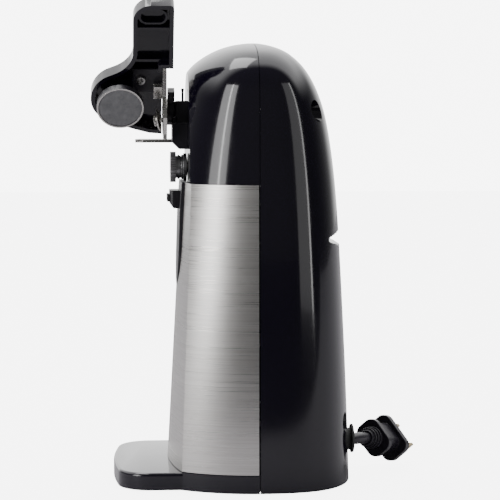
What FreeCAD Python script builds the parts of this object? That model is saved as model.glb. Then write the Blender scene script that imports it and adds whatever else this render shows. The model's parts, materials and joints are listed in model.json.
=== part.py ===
"""Electric can opener: upright housing, geared motor drive, hinged cutting lever, stored cord.

Units are millimetres, +Z is up and the front faces -Y. While the parts are modelled, Y is measured
from the parting plane between the front housing and the rear cover. save() then moves every part so
that the origin lies on the supporting surface, under the middle of the footprint.
"""
import FreeCAD, Part
import math
import os

V = FreeCAD.Vector
AXIS_X = V(1, 0, 0)
AXIS_Y = V(0, 1, 0)
AXIS_Z = V(0, 0, 1)

# ---- driving dimensions -------------------------------------------------------------------------
parting_y = 16.6           # the parting plane, behind the middle of the footprint
parting_gap = 0.15         # half of the line between the two shells
wall = 2.4                 # moulded wall
sheet = 0.6                # stainless wrap
floor_gap = 0.8            # the housing stands this high, on its feet
wrap_bottom = 10.0
wrap_top = 152.4
head_face_y = -33.4        # flat front of the head
dome_start = 198.0         # above this height the shell closes over

# height, half width, front depth, rear depth of the shell
shell_stations = [
    (-2.0, 60.3, 62.9, 49.4),
    (45.0, 59.3, 58.6, 48.0),
    (80.0, 58.6, 55.1, 46.2),
    (115.0, 57.9, 51.7, 44.4),
    (150.0, 57.0, 48.2, 42.1),
    (172.0, 56.5, 44.6, 39.2),
    (187.0, 56.2, 41.4, 36.4),
    (198.0, 55.4, 38.2, 32.5),
    (205.0, 53.4, 35.4, 28.9),
    (210.0, 50.0, 31.9, 25.4),
    (213.6, 46.0, 27.5, 21.9),
    (216.6, 40.8, 22.7, 18.3),
    (218.8, 34.0, 18.2, 14.6),
    (220.6, 24.0, 13.0, 9.9),
    (221.7, 14.0, 8.0, 5.8),
    (222.2, 5.0, 3.0, 2.2),
]
rear_squareness = 2.8      # superellipse exponent of the rear half of a section
section_count = 40

platform_half_width = 47.5
platform_top = 9.4
platform_front_y = -71.7
platform_side_end_y = -54.0
platform_corner_x = 31.0
platform_corner_y = -69.6

groove_z = 124.3           # knife groove across the back
groove_mouth = 8.4
groove_tip_y = 35.4
groove_tip_radius = 1.3

drive_z = 159.2            # can drive axis
motor_z = 122.0            # motor axis
pivot_x = -5.4             # lever pivot axis
pivot_z = 187.5
raise_angle = 57.0         # the lever rests raised by this angle
running_gap = 0.06

plunger_x = 5.8            # switch plunger, beside the lever hub
plunger_y = -39.9
latch_y = -35.4            # release latch
guide_screw_x = -24.0
guide_screw_z = 178.2
cover_screws = [(40.5, 188.0, 5.5, 17.0), (31.5, 31.0, 5.3, 36.0)]   # x, z, well radius, seat

shell_top_n = -4.6         # lever, closed: l runs along the handle and n down from the pivot
shell_rim_n = 4.4
lever_wall = 2.2
screw_l = 20.4             # plate screw
screw_y = -57.0
magnet_l = 11.0
magnet_y = -67.5
magnet_radius = 11.85
magnet_pivot_n = 7.6
cutter_l = 5.4
cutter_n = 15.8
cutter_y = -48.2
cutter_radius = 6.2
cutter_toe = math.radians(11.0)

pressure_angle = math.radians(20.0)
addendum = 0.8             # shares of the module
dedendum = 1.0
backlash = 0.2
pinion_teeth = 14
wheel_teeth = (58, 52, 48)
modules = (0.5, 0.6, 0.8)
first_axis_angle = math.radians(120.0)
stack_y0 = -3.0            # motor's iron stack
stack_y1 = 13.0
motor_bolt_x = 21.5
motor_bolt_z = (109.0, 133.0)

cord_diameter = 6.0
coil_x = -2.0
coil_y = 0.0
coil_radii = (34.6, 28.3, 31.45)
cord_floor_z = 3.6
outlet_point = V(22.2, 47.8, 21.2)
cord_route = [
    V(29.4, 21.8, 15.6),
    V(29.5, 32.7, 18.7),
    V(25.7, 43.5, 20.7),
    V(18.6, 52.4, 20.8),
    V(8.9, 58.4, 19.1),
]
plug_centre = V(-15.0, 73.3, 14.7)
plug_axis = V(-0.838, 0.523, -0.155)
plug_roll = 105.8


# ---- small helpers ------------------------------------------------------------------------------
def box(x0, x1, y0, y1, z0, z1):
    """Box between two corners."""
    return Part.makeBox(x1 - x0, y1 - y0, z1 - z0, V(x0, y0, z0))


def rod_y(radius, x, z, y0, y1):
    """Cylinder along Y."""
    return Part.makeCylinder(radius, y1 - y0, V(x, y0, z), AXIS_Y)


def rod_z(radius, x, y, z0, z1):
    """Cylinder along Z."""
    return Part.makeCylinder(radius, z1 - z0, V(x, y, z0), AXIS_Z)


def ring_y(outer, inner, x, z, y0, y1):
    """Tube along Y."""
    return rod_y(outer, x, z, y0, y1).cut(rod_y(inner, x, z, y0 - 1, y1 + 1))


def prism(points, direction):
    """Solid swept from a closed polygon."""
    outline = Part.makePolygon(points + [points[0]])
    return Part.Face(outline).extrude(direction)


def fuse_all(shapes):
    """One solid from several that touch."""
    return shapes[0].multiFuse(shapes[1:]).removeSplitter()


def group(solids):
    """Separate solids kept in one node."""
    return Part.makeCompound(solids)


def smooth_arc(p, q, r):
    """Edge of the circle through three points."""
    return Part.Arc(p, q, r).toShape()


def save(name, shape):
    """Move a part to the object's origin and write it."""
    placed = shape.copy()
    placed.translate(V(0, parting_y, 0))
    placed.exportStep("parts/" + name + ".step")
    volume = placed.Volume
    print(f"{name:22s} solids {len(placed.Solids)} valid {placed.isValid()} volume {volume:.0f}")


# ---- outer form ---------------------------------------------------------------------------------
def section_points(z, half_width, front, rear):
    """Round of points: half an ellipse in front, half a superellipse behind."""
    points = []
    for i in range(section_count):
        angle = 2 * math.pi * i / section_count
        c = math.cos(angle)
        s = math.sin(angle)
        if s <= 0:
            points.append(V(half_width * c, front * s, z))
        else:
            power = 2 / rear_squareness
            x = half_width * math.copysign(abs(c) ** power, c)
            points.append(V(x, rear * abs(s) ** power, z))
    return points


def shell_form(inset):
    """The rounded tower, inset evenly from the outer surface."""
    shoulder = [s for s in shell_stations if s[0] == dome_start][0]
    crown = shell_stations[-1][0]
    rows = []
    for z, half_width, front, rear in shell_stations:
        if z <= dome_start:
            rows.append(section_points(z, half_width - inset, front - inset, rear - inset))
        else:
            drop = inset * (z - dome_start) / (crown - dome_start)
            size = [v * (1 - inset / s) for v, s in zip((half_width, front, rear), shoulder[1:])]
            rows.append(section_points(z - drop, *size))
    return closed_skin(rows)


def closed_skin(rows):
    """Solid under a smooth cubic surface, closed round each row and capped at both ends."""
    degree = 3
    poles = [list(column) for column in zip(*rows)]
    around = [1] * (len(poles) + 1)
    along = [degree + 1] + [1] * (len(rows) - degree - 1) + [degree + 1]
    surface = Part.BSplineSurface()
    surface.buildFromPolesMultsKnots(
        poles, around, along, list(range(len(around))), list(range(len(along))),
        True, False, degree, degree,
    )
    side = surface.toShape()
    rims = [e for e in side.Edges if abs(e.BoundBox.ZLength) < 1e-6]
    caps = [Part.Face(Part.Wire(e)) for e in rims]
    shell = Part.Shell([side] + caps)
    shell.sewShape()
    solid = Part.Solid(shell)
    if solid.Volume < 0:
        solid.reverse()
    return solid


def front_arc_face(z, centre_y, radius):
    """Flat region behind the shallow arc of the front, at one height."""
    reach = 75.0
    back_y = 80.0
    side_y = centre_y + radius - math.sqrt(radius ** 2 - reach ** 2)
    left = V(-reach, side_y, z)
    right = V(reach, side_y, z)
    left_back = V(-reach, back_y, z)
    right_back = V(reach, back_y, z)
    edges = [
        smooth_arc(left, V(0, centre_y, z), right),
        Part.makeLine(right, right_back),
        Part.makeLine(right_back, left_back),
        Part.makeLine(left_back, left),
    ]
    return Part.Wire(edges)


def behind_front(inset):
    """Everything behind the leaning lower front and the upright face of the head."""
    low = front_arc_face(-2.5, -44.45 + inset, 190.0)
    high = front_arc_face(wrap_top, -36.1 + inset, 258.0)
    lower = Part.makeLoft([low, high], True, True)
    upper = box(-75, 75, head_face_y + inset, 80, wrap_top, 230)
    return lower, upper


def tower(inset, lower_inset):
    """Outer form cut to its front faces; the part under the steel may be inset further."""
    lower, _ = behind_front(lower_inset)
    _, upper = behind_front(inset)
    low = shell_form(lower_inset).common(lower)
    high = shell_form(inset).common(upper)
    return low, high


def platform_form(inset, z0, z1):
    """Plan shape of the can platform, run back into the tower."""
    w = platform_half_width - inset
    front = platform_front_y + inset
    cx = platform_corner_x - 0.5 * inset
    cy = platform_corner_y + inset
    back = -20.0
    bulge_x = 42.6 - 0.8 * inset
    bulge_y = -64.4 + 0.7 * inset
    edges = [
        smooth_arc(V(-cx, cy, z0), V(0, front, z0), V(cx, cy, z0)),
        smooth_arc(V(cx, cy, z0), V(bulge_x, bulge_y, z0), V(w, platform_side_end_y, z0)),
        Part.makeLine(V(w, platform_side_end_y, z0), V(w, back, z0)),
        Part.makeLine(V(w, back, z0), V(-w, back, z0)),
        Part.makeLine(V(-w, back, z0), V(-w, platform_side_end_y, z0)),
        smooth_arc(V(-w, platform_side_end_y, z0), V(-bulge_x, bulge_y, z0), V(-cx, cy, z0)),
    ]
    return Part.Face(Part.Wire(edges)).extrude(V(0, 0, z1 - z0))


def tongue_outline(grow):
    """Solid of the U-shaped tongue at the top of the front, seen from the front."""
    half = 21.0 + grow
    low_z = 120.0
    top = wrap_top + 1
    edges = [
        Part.makeLine(V(half, -50, top), V(-half, -50, top)),
        Part.makeLine(V(-half, -50, top), V(-half, -50, low_z)),
        smooth_arc(V(-half, -50, low_z), V(0, -50, low_z - half), V(half, -50, low_z)),
        Part.makeLine(V(half, -50, low_z), V(half, -50, top)),
    ]
    return Part.Face(Part.Wire(edges)).extrude(V(0, 22, 0))


# ---- housing ------------------------------------------------------------------------------------
def cover_screw_places():
    """Both sides of each housing screw: x, z, well radius, seat."""
    return [(side * x, z, radius, seat) for x, z, radius, seat in cover_screws for side in (-1, 1)]


def front_housing():
    """Head, front and platform in one moulding, open at the back and below."""
    low, high = tower(0, sheet + 0.05)
    front_half = box(-80, 80, -90, -parting_gap, -1, 230)
    above_floor = box(-80, 80, -90, 80, floor_gap, 230)
    platform = platform_form(0, floor_gap, platform_top)
    body = low.common(above_floor).fuse(high).fuse(base_band()).fuse(platform)
    body = body.common(front_half)
    inner_low, inner_high = tower(wall, wall + sheet)
    room = inner_low.fuse(inner_high)
    under = platform_form(wall, 0, platform_top - wall)
    body = body.cut(room).cut(under)
    posts = []
    for x, z, _, _ in cover_screw_places():
        post = rod_y(4.6, x, z, -60, -parting_gap)
        posts.append(post.common(low.fuse(high)))
    body = body.multiFuse(posts)
    for x, z, _, _ in cover_screw_places():
        body = body.cut(rod_y(1.5, x, z, -22, 2))
    body = body.cut(rod_y(5.25, 0, drive_z, -60, -25))
    body = body.cut(rod_y(1.5, guide_screw_x, guide_screw_z, -60, -25))
    return body.cut(wheel_relief()).removeSplitter()


def wheel_relief():
    """Room for the flange of the drive wheel."""
    return rod_y(7.7, 0, drive_z, -60, head_face_y - 0.15)


def base_band():
    """Full-size foot of the tower below the steel wrap."""
    lower, _ = behind_front(0)
    return shell_form(0).common(lower).common(box(-80, 80, -90, 80, floor_gap, wrap_bottom - 0.3))


def rear_cover():
    """Rear shell with the knife groove, screw wells and the cord outlet."""
    form = shell_form(0)
    rear_half = box(-80, 80, parting_gap, 80, floor_gap, 230)
    body = form.common(rear_half).cut(shell_form(wall))
    solid_form = form.common(rear_half)
    groove_back = wedge_groove(wall)
    body = body.fuse(groove_back.common(solid_form))
    for x, z, radius, _ in cover_screw_places():
        well = rod_y(radius + 1.9, x, z, parting_gap, 60).common(solid_form)
        body = body.fuse(well)
    for x, z, radius, seat in cover_screw_places():
        body = body.cut(rod_y(radius, x, z, seat, 70)).cut(rod_y(2.1, x, z, -1, seat + 1))
    body = body.cut(wedge_groove(0))
    for side in (-1, 1):
        body = body.cut(box(side * 8.5 - 6, side * 8.5 + 6, 28, 40, groove_z - 1.2, groove_z + 1.2))
    body = body.cut(outlet_hole(5.6, 30))
    return body.removeSplitter()


def wedge_groove(grow):
    """V-shaped bar along X with a rounded tip, pointing forward into the back."""
    half = groove_mouth / 2 + grow * 1.25
    tip_r = groove_tip_radius + grow
    tip_y = groove_tip_y - grow
    mouth_y = 44.6
    centre = V(-70, tip_y + tip_r, groove_z)
    spread = math.atan2(half - tip_r, mouth_y - centre.y)
    dz = tip_r * math.cos(spread)
    dy = tip_r * math.sin(spread)
    upper = V(-70, centre.y - dy, groove_z + dz)
    lower = V(-70, centre.y - dy, groove_z - dz)
    slope = math.tan(spread)
    far_y = 52.0
    far_half = dz + (far_y - upper.y) * slope
    far_up = V(-70, far_y, groove_z + far_half)
    far_down = V(-70, far_y, groove_z - far_half)
    edges = [
        smooth_arc(upper, V(-70, tip_y, groove_z), lower),
        Part.makeLine(lower, far_down),
        Part.makeLine(far_down, far_up),
        Part.makeLine(far_up, upper),
    ]
    return Part.Face(Part.Wire(edges)).extrude(V(140, 0, 0))


def steel_wrap():
    """Brushed stainless sheet over the front and both sides, notched for the tongue."""
    lower_outer, _ = behind_front(0)
    lower_inner, _ = behind_front(sheet)
    outer = shell_form(0).common(lower_outer)
    inner = shell_form(sheet).common(lower_inner)
    band = box(-80, 80, -90, -0.55, wrap_bottom, wrap_top - 0.25)
    skin = outer.cut(inner).common(band)
    return skin.cut(tongue_outline(0.3)).cut(wheel_relief())


def front_tongue():
    """Black raised tongue that carries the can rest."""
    profile = [
        V(-30, -36.9, wrap_top - 0.3),
        V(-30, -37.9, 138.0),
        V(-30, -39.2, 97.0),
        V(-30, -30, 97.0),
        V(-30, -30, wrap_top - 0.3),
    ]
    wedge = prism(profile, V(60, 0, 0))
    low, _ = tower(0, sheet + 0.05)
    return tongue_outline(0).common(wedge).cut(low).cut(wheel_relief())


def base_plate():
    """Flat bottom cover inside the rim of both shells."""
    z0 = floor_gap + 0.6
    z1 = z0 + 2.0
    inset = wall + sheet + 0.5
    low, _ = tower(inset, inset)
    plate = low.common(box(-80, 80, -80, 80, z0, z1)).fuse(platform_form(wall + 0.4, z0, z1))
    for x, y in base_screw_places():
        plate = plate.cut(rod_z(1.7, x, y, 0, 8))
    for x, y in foot_places():
        plate = plate.cut(rod_z(2.6, x, y, 0, 8))
    return plate.removeSplitter()


def foot_places():
    """Centres of the four rubber feet."""
    return [(-36, -52), (36, -52), (-36, 30), (36, 30)]


def rubber_feet():
    """Soft studs pushed through the base plate."""
    feet = []
    for x, y in foot_places():
        pad = Part.makeCone(6.4, 7.0, floor_gap + 0.6, V(x, y, 0), AXIS_Z)
        stem = rod_z(2.6, x, y, floor_gap + 0.6, floor_gap + 2.6)
        cap = Part.makeCone(3.6, 2.4, 1.4, V(x, y, floor_gap + 2.6), AXIS_Z)
        feet.append(pad.fuse(stem).fuse(cap).removeSplitter())
    return group(feet)


def base_screw_places():
    """Centres of the base plate screws."""
    return [(-20, -62), (20, -62), (-48, 8), (48, 8)]


def base_screws():
    """Pan head screws from below."""
    screws = []
    for x, y in base_screw_places():
        head = rod_z(2.9, x, y, floor_gap - 0.2, floor_gap + 0.6)
        screws.append(head.fuse(rod_z(1.5, x, y, floor_gap, platform_top - wall)).removeSplitter())
    return group(screws)


def housing_screws():
    """Long screws from the rear cover into the front housing."""
    screws = []
    for x, z, _, seat in cover_screw_places():
        head = rod_y(3.6, x, z, seat, seat + 2.2)
        slot_a = box(x - 2.2, x + 2.2, seat + 1.2, seat + 3, z - 0.45, z + 0.45)
        slot_b = box(x - 0.45, x + 0.45, seat + 1.2, seat + 3, z - 2.2, z + 2.2)
        screw = head.fuse(rod_y(1.5, x, z, -16, seat)).cut(slot_a).cut(slot_b)
        screws.append(screw.removeSplitter())
    return group(screws)


# ---- front fittings -----------------------------------------------------------------------------
def can_rest():
    """Block on the tongue that steadies the side of the can."""
    block = box(-10, 10, -42.5, -36.0, 138.4, 147.5)
    profile = [V(-11, -43, 138.0), V(-11, -40.4, 138.0), V(-11, -43, 141.6)]
    block = block.cut(prism(profile, V(22, 0, 0)))
    low, _ = tower(0, sheet + 0.05)
    upright = [e for e in block.Edges if abs(e.tangentAt(e.FirstParameter).z) > 0.99]
    front_edges = [e for e in upright if e.CenterOfMass.y < -42]
    block = block.makeFillet(2.0, front_edges)
    return block.cut(low).cut(front_tongue())


def can_rest_pad():
    """Rubber strip on the face of the can rest."""
    return box(-7.5, 7.5, -43.8, -42.55, 141.7, 145.4)


def can_guide():
    """Steel tongue beside the lever; the can's rim runs under it."""
    outline = [
        V(-16.5, -41.2, 171.2),
        V(-16.5, -56.0, 171.2),
        V(-20.5, -59.8, 171.2),
        V(-30.0, -58.0, 171.2),
        V(-31.5, -41.2, 171.2),
    ]
    tongue = prism(outline, V(0, 0, 1.8))
    foot = box(-31.0, -17.0, -41.4, head_face_y - 0.02, 171.2, 173.0)
    flange = box(-31.0, -17.0, head_face_y - 1.8, head_face_y - 0.02, 171.2, 183.0)
    guide = tongue.fuse(foot).fuse(flange)
    guide = guide.cut(rod_y(1.7, guide_screw_x, guide_screw_z, -40, -30))
    return guide.removeSplitter()


def guide_screw():
    """Screw that holds the can guide to the head."""
    x = guide_screw_x
    z = guide_screw_z
    head = rod_y(3.0, x, z, head_face_y - 3.6, head_face_y - 1.8)
    return head.fuse(rod_y(1.45, x, z, head_face_y - 2, head_face_y + wall)).removeSplitter()


def lever_mount():
    """Two-step bracket on the head that carries the lever pivot."""
    upper = box(pivot_x - 8.5, 4.0, -39.6, head_face_y - 0.02, 181.7, 193.0)
    corner = [e for e in upper.Edges if abs(e.CenterOfMass.y + 39.6) < 0.1]
    upper = upper.makeFillet(1.2, corner)
    lower = box(-9.0, 9.0, -41.2, head_face_y - 0.02, 168.5, 181.7)
    chamfer = [V(-10, -42, 168.0), V(-10, -37.2, 168.0), V(-10, -42, 172.6)]
    lower = lower.cut(prism(chamfer, V(20, 0, 0)))
    mount = upper.fuse(lower)
    mount = mount.cut(rod_y(3.0, pivot_x, pivot_z, -50, -30))
    mount = mount.cut(rod_z(0.9 + running_gap, plunger_x, plunger_y, 172.0, 190.0))
    mount = mount.cut(latch_pocket())
    mount = mount.cut(rod_y(7.4, pivot_x, pivot_z, -50, -39.6))
    return mount.removeSplitter()


def latch_pocket():
    """Slot for the release latch."""
    return box(-9.5, -3.0, latch_y - 0.75, latch_y + 0.75, 191.2, 194.0)


def release_latch():
    """Thin spring latch that frees the lever for cleaning; it is pushed down."""
    blade = box(-8.6, -3.9, latch_y - 0.55, latch_y + 0.55, 193.4, 198.6)
    knob = Part.makeCylinder(0.8, 4.7, V(-8.6, latch_y, 198.6), AXIS_X)
    stem = box(-7.6, -4.9, latch_y - 0.55, latch_y + 0.55, 192.8, 194.0)
    return blade.fuse(knob).fuse(stem).removeSplitter()


def lever_pivot_pin():
    """Fixed pin that the lever hub turns on."""
    pin = rod_y(3.0, pivot_x, pivot_z, -46.1, -34.0)
    return pin.makeFillet(0.15, [e for e in pin.Edges if abs(e.CenterOfMass.y + 46.1) < 0.05])


def switch_plunger():
    """Pin that the lever presses to start the motor."""
    tip_z = 184.9
    pin = rod_z(0.9, plunger_x, plunger_y, 174.5, tip_z)
    return pin.makeFillet(0.4, [e for e in pin.Edges if abs(e.CenterOfMass.z - tip_z) < 0.05])


# ---- lever, modelled closed, with l along the handle and n down from the pivot -------------------
def lever_point(l, y, n=0.0):
    """Point in the closed lever's own directions."""
    return V(pivot_x + l, y, pivot_z - n)


def raised(shape):
    """Turn a lever part from its closed place to its raised rest."""
    turned = shape.copy()
    turned.rotate(V(pivot_x, 0, pivot_z), AXIS_Y, -raise_angle)
    return turned


def lever_outline(n):
    """Handle and round lobe in plan, closed."""
    lobe = [
        (36.5, -61.0), (30.5, -63.6), (26.0, -69.0), (23.0, -75.4), (17.4, -80.6),
        (9.0, -82.4), (1.6, -79.4), (-3.2, -72.0), (-6.7, -64.0), (-10.3, -52.6),
    ]
    curve = Part.BSplineCurve()
    curve.interpolate(Points=[lever_point(l, y, n) for l, y in lobe])
    corner = 9.0
    tip = 65.0
    front = -61.0
    back = -40.6
    step_l = 28.6
    near = -46.2
    quarter = corner * (1 - math.sqrt(0.5))
    edges = [
        Part.makeLine(lever_point(step_l, back, n), lever_point(tip - 2, back, n)),
        smooth_arc(
            lever_point(tip - 2, back, n),
            lever_point(tip - 0.6, back - 0.6, n),
            lever_point(tip, back - 2, n),
        ),
        Part.makeLine(lever_point(tip, back - 2, n), lever_point(tip, front + corner, n)),
        smooth_arc(
            lever_point(tip, front + corner, n),
            lever_point(tip - quarter, front + quarter, n),
            lever_point(tip - corner, front, n),
        ),
        Part.makeLine(lever_point(tip - corner, front, n), lever_point(36.5, front, n)),
        curve.toShape(),
        Part.makeLine(lever_point(-10.3, -52.6, n), lever_point(-10.9, near, n)),
        Part.makeLine(lever_point(-10.9, near, n), lever_point(step_l, near, n)),
        Part.makeLine(lever_point(step_l, near, n), lever_point(step_l, back, n)),
    ]
    return Part.Face(Part.Wire(edges))


def lever_box(l0, l1, y0, y1, n0, n1):
    """Box given in the closed lever's own directions."""
    return box(pivot_x + l0, pivot_x + l1, y0, y1, pivot_z - n1, pivot_z - n0)


def lever_rod_n(radius, l, y, n0, n1):
    """Cylinder square to the lever's top plate."""
    return rod_z(radius, pivot_x + l, y, pivot_z - n1, pivot_z - n0)


def lever_shell():
    """Moulded lever: top plate, rim and ribs, hollow underneath."""
    deep = shell_rim_n - shell_top_n
    body = lever_outline(shell_rim_n).extrude(V(0, 0, deep))
    top_edges = [e for e in body.Edges if abs(e.CenterOfMass.z - (pivot_z - shell_top_n)) < 0.01]
    body = body.makeFillet(1.3, top_edges)
    inset = lever_outline(shell_rim_n + 1).makeOffset2D(-lever_wall)
    inner_edges = [edge.toNurbs().Edges[0] for edge in inset.OuterWire.OrderedEdges]
    hollow = Part.Face(Part.Wire(inner_edges)).extrude(V(0, 0, deep + 1 - lever_wall))
    side_gap = lever_box(-7.5, 26.8, -48.6, -46.0, shell_top_n + lever_wall, shell_rim_n + 1)
    body = body.cut(hollow).cut(side_gap)
    ribs = [
        lever_box(49.5, 50.9, -60, -41.5, -3.0, 1.6),
        lever_box(31.0, 32.4, -60, -41.5, -3.0, 1.6),
        lever_box(-4, 30, -62.4, -61.0, -3.0, 0.8),
    ]
    inside = lever_outline(shell_rim_n).extrude(V(0, 0, deep))
    for rib in ribs:
        body = body.fuse(rib.common(inside))
    body = body.fuse(lever_rod_n(3.6, screw_l, screw_y, -3.2, 0.0))
    body = body.fuse(lever_rod_n(5.6, magnet_l, magnet_y, -3.2, 5.2))
    body = body.cut(lever_rod_n(1.2, screw_l, screw_y, -2.4, 3.0))
    return body.fuse(oval_lip()).removeSplitter()


def oval_post(radius, n0, n1):
    """Oval bar near the tip of the lever."""
    ends = [lever_rod_n(radius, 56.6, y, n0, n1) for y in (-54.0, -48.0)]
    middle = lever_box(56.6 - radius, 56.6 + radius, -54.0, -48.0, n0, n1)
    return fuse_all(ends + [middle])


def oval_lip():
    """Raised oval lip under the tip of the lever."""
    return oval_post(4.2, -2.6, 1.0).cut(oval_post(3.2, -4.0, 2.0))


def lever_hub():
    """Boss that turns on the pivot pin, with the finger that reaches the switch plunger."""
    boss = rod_y(7.0, pivot_x, pivot_z, -43.4, -39.75)
    finger = lever_box(5.0, 13.0, -43.4, -39.75, -2.5, 2.2)
    hub = boss.fuse(finger)
    return hub.cut(rod_y(3.0 + running_gap, pivot_x, pivot_z, -50, -30)).removeSplitter()


def cutter_plate():
    """Steel side plate with a foot screwed under the lever shell."""
    outline = [
        (-9.6, -3.0), (-9.6, 6.0), (-6.0, 14.0), (-2.6, 21.6), (1.0, 22.4), (10.0, 21.0),
        (12.6, 16.0), (14.0, 8.0), (26.5, 4.2), (26.5, -3.0), (10.0, -8.0), (-4.0, -8.0),
    ]
    plate = prism([lever_point(l, -45.9, n) for l, n in outline], V(0, 2.0, 0))
    foot = lever_box(13.0, 26.4, -61.0, -44.0, 0.05, 1.55)
    plate = plate.fuse(foot)
    plate = plate.cut(rod_y(3.0 + running_gap, pivot_x, pivot_z, -50, -40))
    plate = plate.cut(lever_rod_n(1.4, screw_l, screw_y, -2, 4))
    return plate.removeSplitter()


def cutter_plate_screw():
    """Cross-head screw through the plate's foot."""
    head = lever_rod_n(2.2, screw_l, screw_y, 1.55, 3.3)
    shank = lever_rod_n(1.15, screw_l, screw_y, -2.3, 1.6)
    slot_a = lever_box(screw_l - 1.5, screw_l + 1.5, screw_y - 0.3, screw_y + 0.3, 2.4, 4.0)
    slot_b = lever_box(screw_l - 0.3, screw_l + 0.3, screw_y - 1.5, screw_y + 1.5, 2.4, 4.0)
    return head.fuse(shank).cut(slot_a).cut(slot_b).removeSplitter()


def cutter_axis():
    """Direction of the cutter wheel's axle, closed."""
    return V(math.sin(cutter_toe), math.cos(cutter_toe), 0)


def cutter_wheel():
    """Hardened disc with a two-sided edge, toed in to pull the can round."""
    centre = lever_point(cutter_l, cutter_y, cutter_n)
    axis = cutter_axis()
    half = 1.0
    inner = 3.6
    front = Part.makeCone(inner, cutter_radius, half, centre - axis * half, axis)
    back = Part.makeCone(cutter_radius, inner, half, centre, axis)
    wheel = front.fuse(back)
    bore = Part.makeCylinder(1.7 + running_gap, 8, centre - axis * 4, axis)
    return wheel.cut(bore).removeSplitter()


def cutter_wheel_pin():
    """Headed axle of the cutter wheel, riveted in the plate."""
    centre = lever_point(cutter_l, cutter_y, cutter_n)
    axis = cutter_axis()
    shank = Part.makeCylinder(1.7, 3.0, centre - axis * 1.25, axis)
    shank = shank.common(box(-60, 60, -60, -45.9, 150, 200))
    head = Part.makeCylinder(3.0, 1.0, centre - axis * 2.25, axis)
    return shank.fuse(head).removeSplitter()


def rim_guide():
    """Folded steel tab on the plate that runs along the outside of the can's rim."""
    outer = lever_box(11.8, 19.0, -50.6, -46.0, 2.2, 6.4)
    slot = lever_box(11.0, 20.0, -51.5, -47.5, 3.9, 4.7)
    return outer.cut(slot).removeSplitter()


def magnet_holder():
    """Forked stem under the lobe that carries the magnet."""
    stem = lever_rod_n(3.4, magnet_l, magnet_y, 5.2, 9.2)
    slot = lever_box(magnet_l - 1.2, magnet_l + 1.2, magnet_y - 5, magnet_y + 5, 5.9, 10)
    pin_hole = Part.makeCylinder(0.8, 10, lever_point(magnet_l - 5, magnet_y, magnet_pivot_n), AXIS_X)
    return stem.cut(slot).cut(pin_hole).removeSplitter()


def magnet_pin():
    """Cross pin of the magnet."""
    return Part.makeCylinder(0.8, 6.4, lever_point(magnet_l - 3.2, magnet_y, magnet_pivot_n), AXIS_X)


def magnet_cup():
    """Steel cup with the tongue that hangs on the pin."""
    cup = lever_rod_n(magnet_radius, magnet_l, magnet_y, 10.2, 14.0)
    cup = cup.cut(lever_rod_n(magnet_radius - 0.9, magnet_l, magnet_y, 11.2, 15.0))
    tongue = lever_box(
        magnet_l - 0.9, magnet_l + 0.9, magnet_y - 1.5, magnet_y + 1.5, magnet_pivot_n - 1.4, 10.3
    )
    cup = cup.fuse(tongue)
    hole = Part.makeCylinder(0.8 + 0.05, 10, lever_point(magnet_l - 5, magnet_y, magnet_pivot_n), AXIS_X)
    return cup.cut(hole).removeSplitter()


def magnet_disc():
    """Ferrite disc in the cup."""
    return lever_rod_n(magnet_radius - 1.0, magnet_l, magnet_y, 11.2, 13.7)


# ---- gear train ---------------------------------------------------------------------------------
def centre_distance(stage):
    """Distance between the axes of one stage."""
    return modules[stage] * (pinion_teeth + wheel_teeth[stage]) / 2


def gear_axes():
    """(x, z) of the motor, first gear, second gear and drive axes."""
    motor = (0.0, motor_z)
    reach = centre_distance(0)
    first = (reach * math.cos(first_axis_angle), motor_z + reach * math.sin(first_axis_angle))
    dx = -first[0]
    dz = drive_z - first[1]
    span = math.hypot(dx, dz)
    near = centre_distance(1)
    far = centre_distance(2)
    along = (near ** 2 - far ** 2 + span ** 2) / (2 * span)
    across = math.sqrt(near ** 2 - along ** 2)
    x = first[0] + along * dx / span + across * dz / span
    z = first[1] + along * dz / span - across * dx / span
    return motor, first, (x, z), (0.0, drive_z)


def direction(a, b):
    """Angle of the line from a to b in the XZ plane."""
    return math.atan2(b[1] - a[1], b[0] - a[0])


def involute_angle(radius, base):
    """Polar angle of the involute at a radius."""
    ratio = max(1.0, radius / base)
    return math.sqrt(ratio ** 2 - 1) - math.acos(1 / ratio)


def spur(centre, teeth, module, y0, y1, tooth_at):
    """Spur gear along Y with a tooth centred on the angle tooth_at."""
    pitch = module * teeth / 2
    base = pitch * math.cos(pressure_angle)
    tip = pitch + addendum * module
    root = pitch - dedendum * module
    half = (math.pi * module / 2 - backlash / 2) / (2 * pitch) + involute_angle(pitch, base)
    start = max(base, root)
    steps = [start + (tip - start) * k / 3 for k in range(4)]
    flank = [(r, half - involute_angle(r, base)) for r in steps]
    if root < base:
        flank = [(root, flank[0][1])] + flank
    outline = []
    for tooth in range(teeth):
        middle = tooth_at + 2 * math.pi * tooth / teeth
        side = [(r, middle - a) for r, a in flank] + [(r, middle + a) for r, a in reversed(flank)]
        for r, a in side:
            outline.append(V(centre[0] + r * math.cos(a), y0, centre[1] + r * math.sin(a)))
    return prism(outline, V(0, y1 - y0, 0))


def motor_pinion():
    """Pinion pressed on the front end of the rotor shaft."""
    motor, first, _, _ = gear_axes()
    gear = spur(motor, pinion_teeth, modules[0], -15.4, -10.9, direction(motor, first))
    return gear.cut(rod_y(1.6, motor[0], motor[1], -20, 0))


def compound_gear(stage, here, before, after, wheel_y, pinion_y):
    """Wheel and pinion on one hub."""
    half_tooth = math.pi / wheel_teeth[stage]
    gap_at = direction(here, before) + half_tooth
    wheel = spur(here, wheel_teeth[stage], modules[stage], wheel_y[0], wheel_y[1], gap_at)
    pinion = spur(
        here, pinion_teeth, modules[stage + 1], pinion_y[0], pinion_y[1], direction(here, after)
    )
    gear = wheel.fuse(pinion)
    return gear.cut(rod_y(1.5 + running_gap, here[0], here[1], -40, 0))


def first_gear():
    """First reduction: large wheel behind, pinion in front."""
    motor, first, second, _ = gear_axes()
    return compound_gear(0, first, motor, second, (-14.8, -11.4), (-21.0, -14.7))


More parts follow.
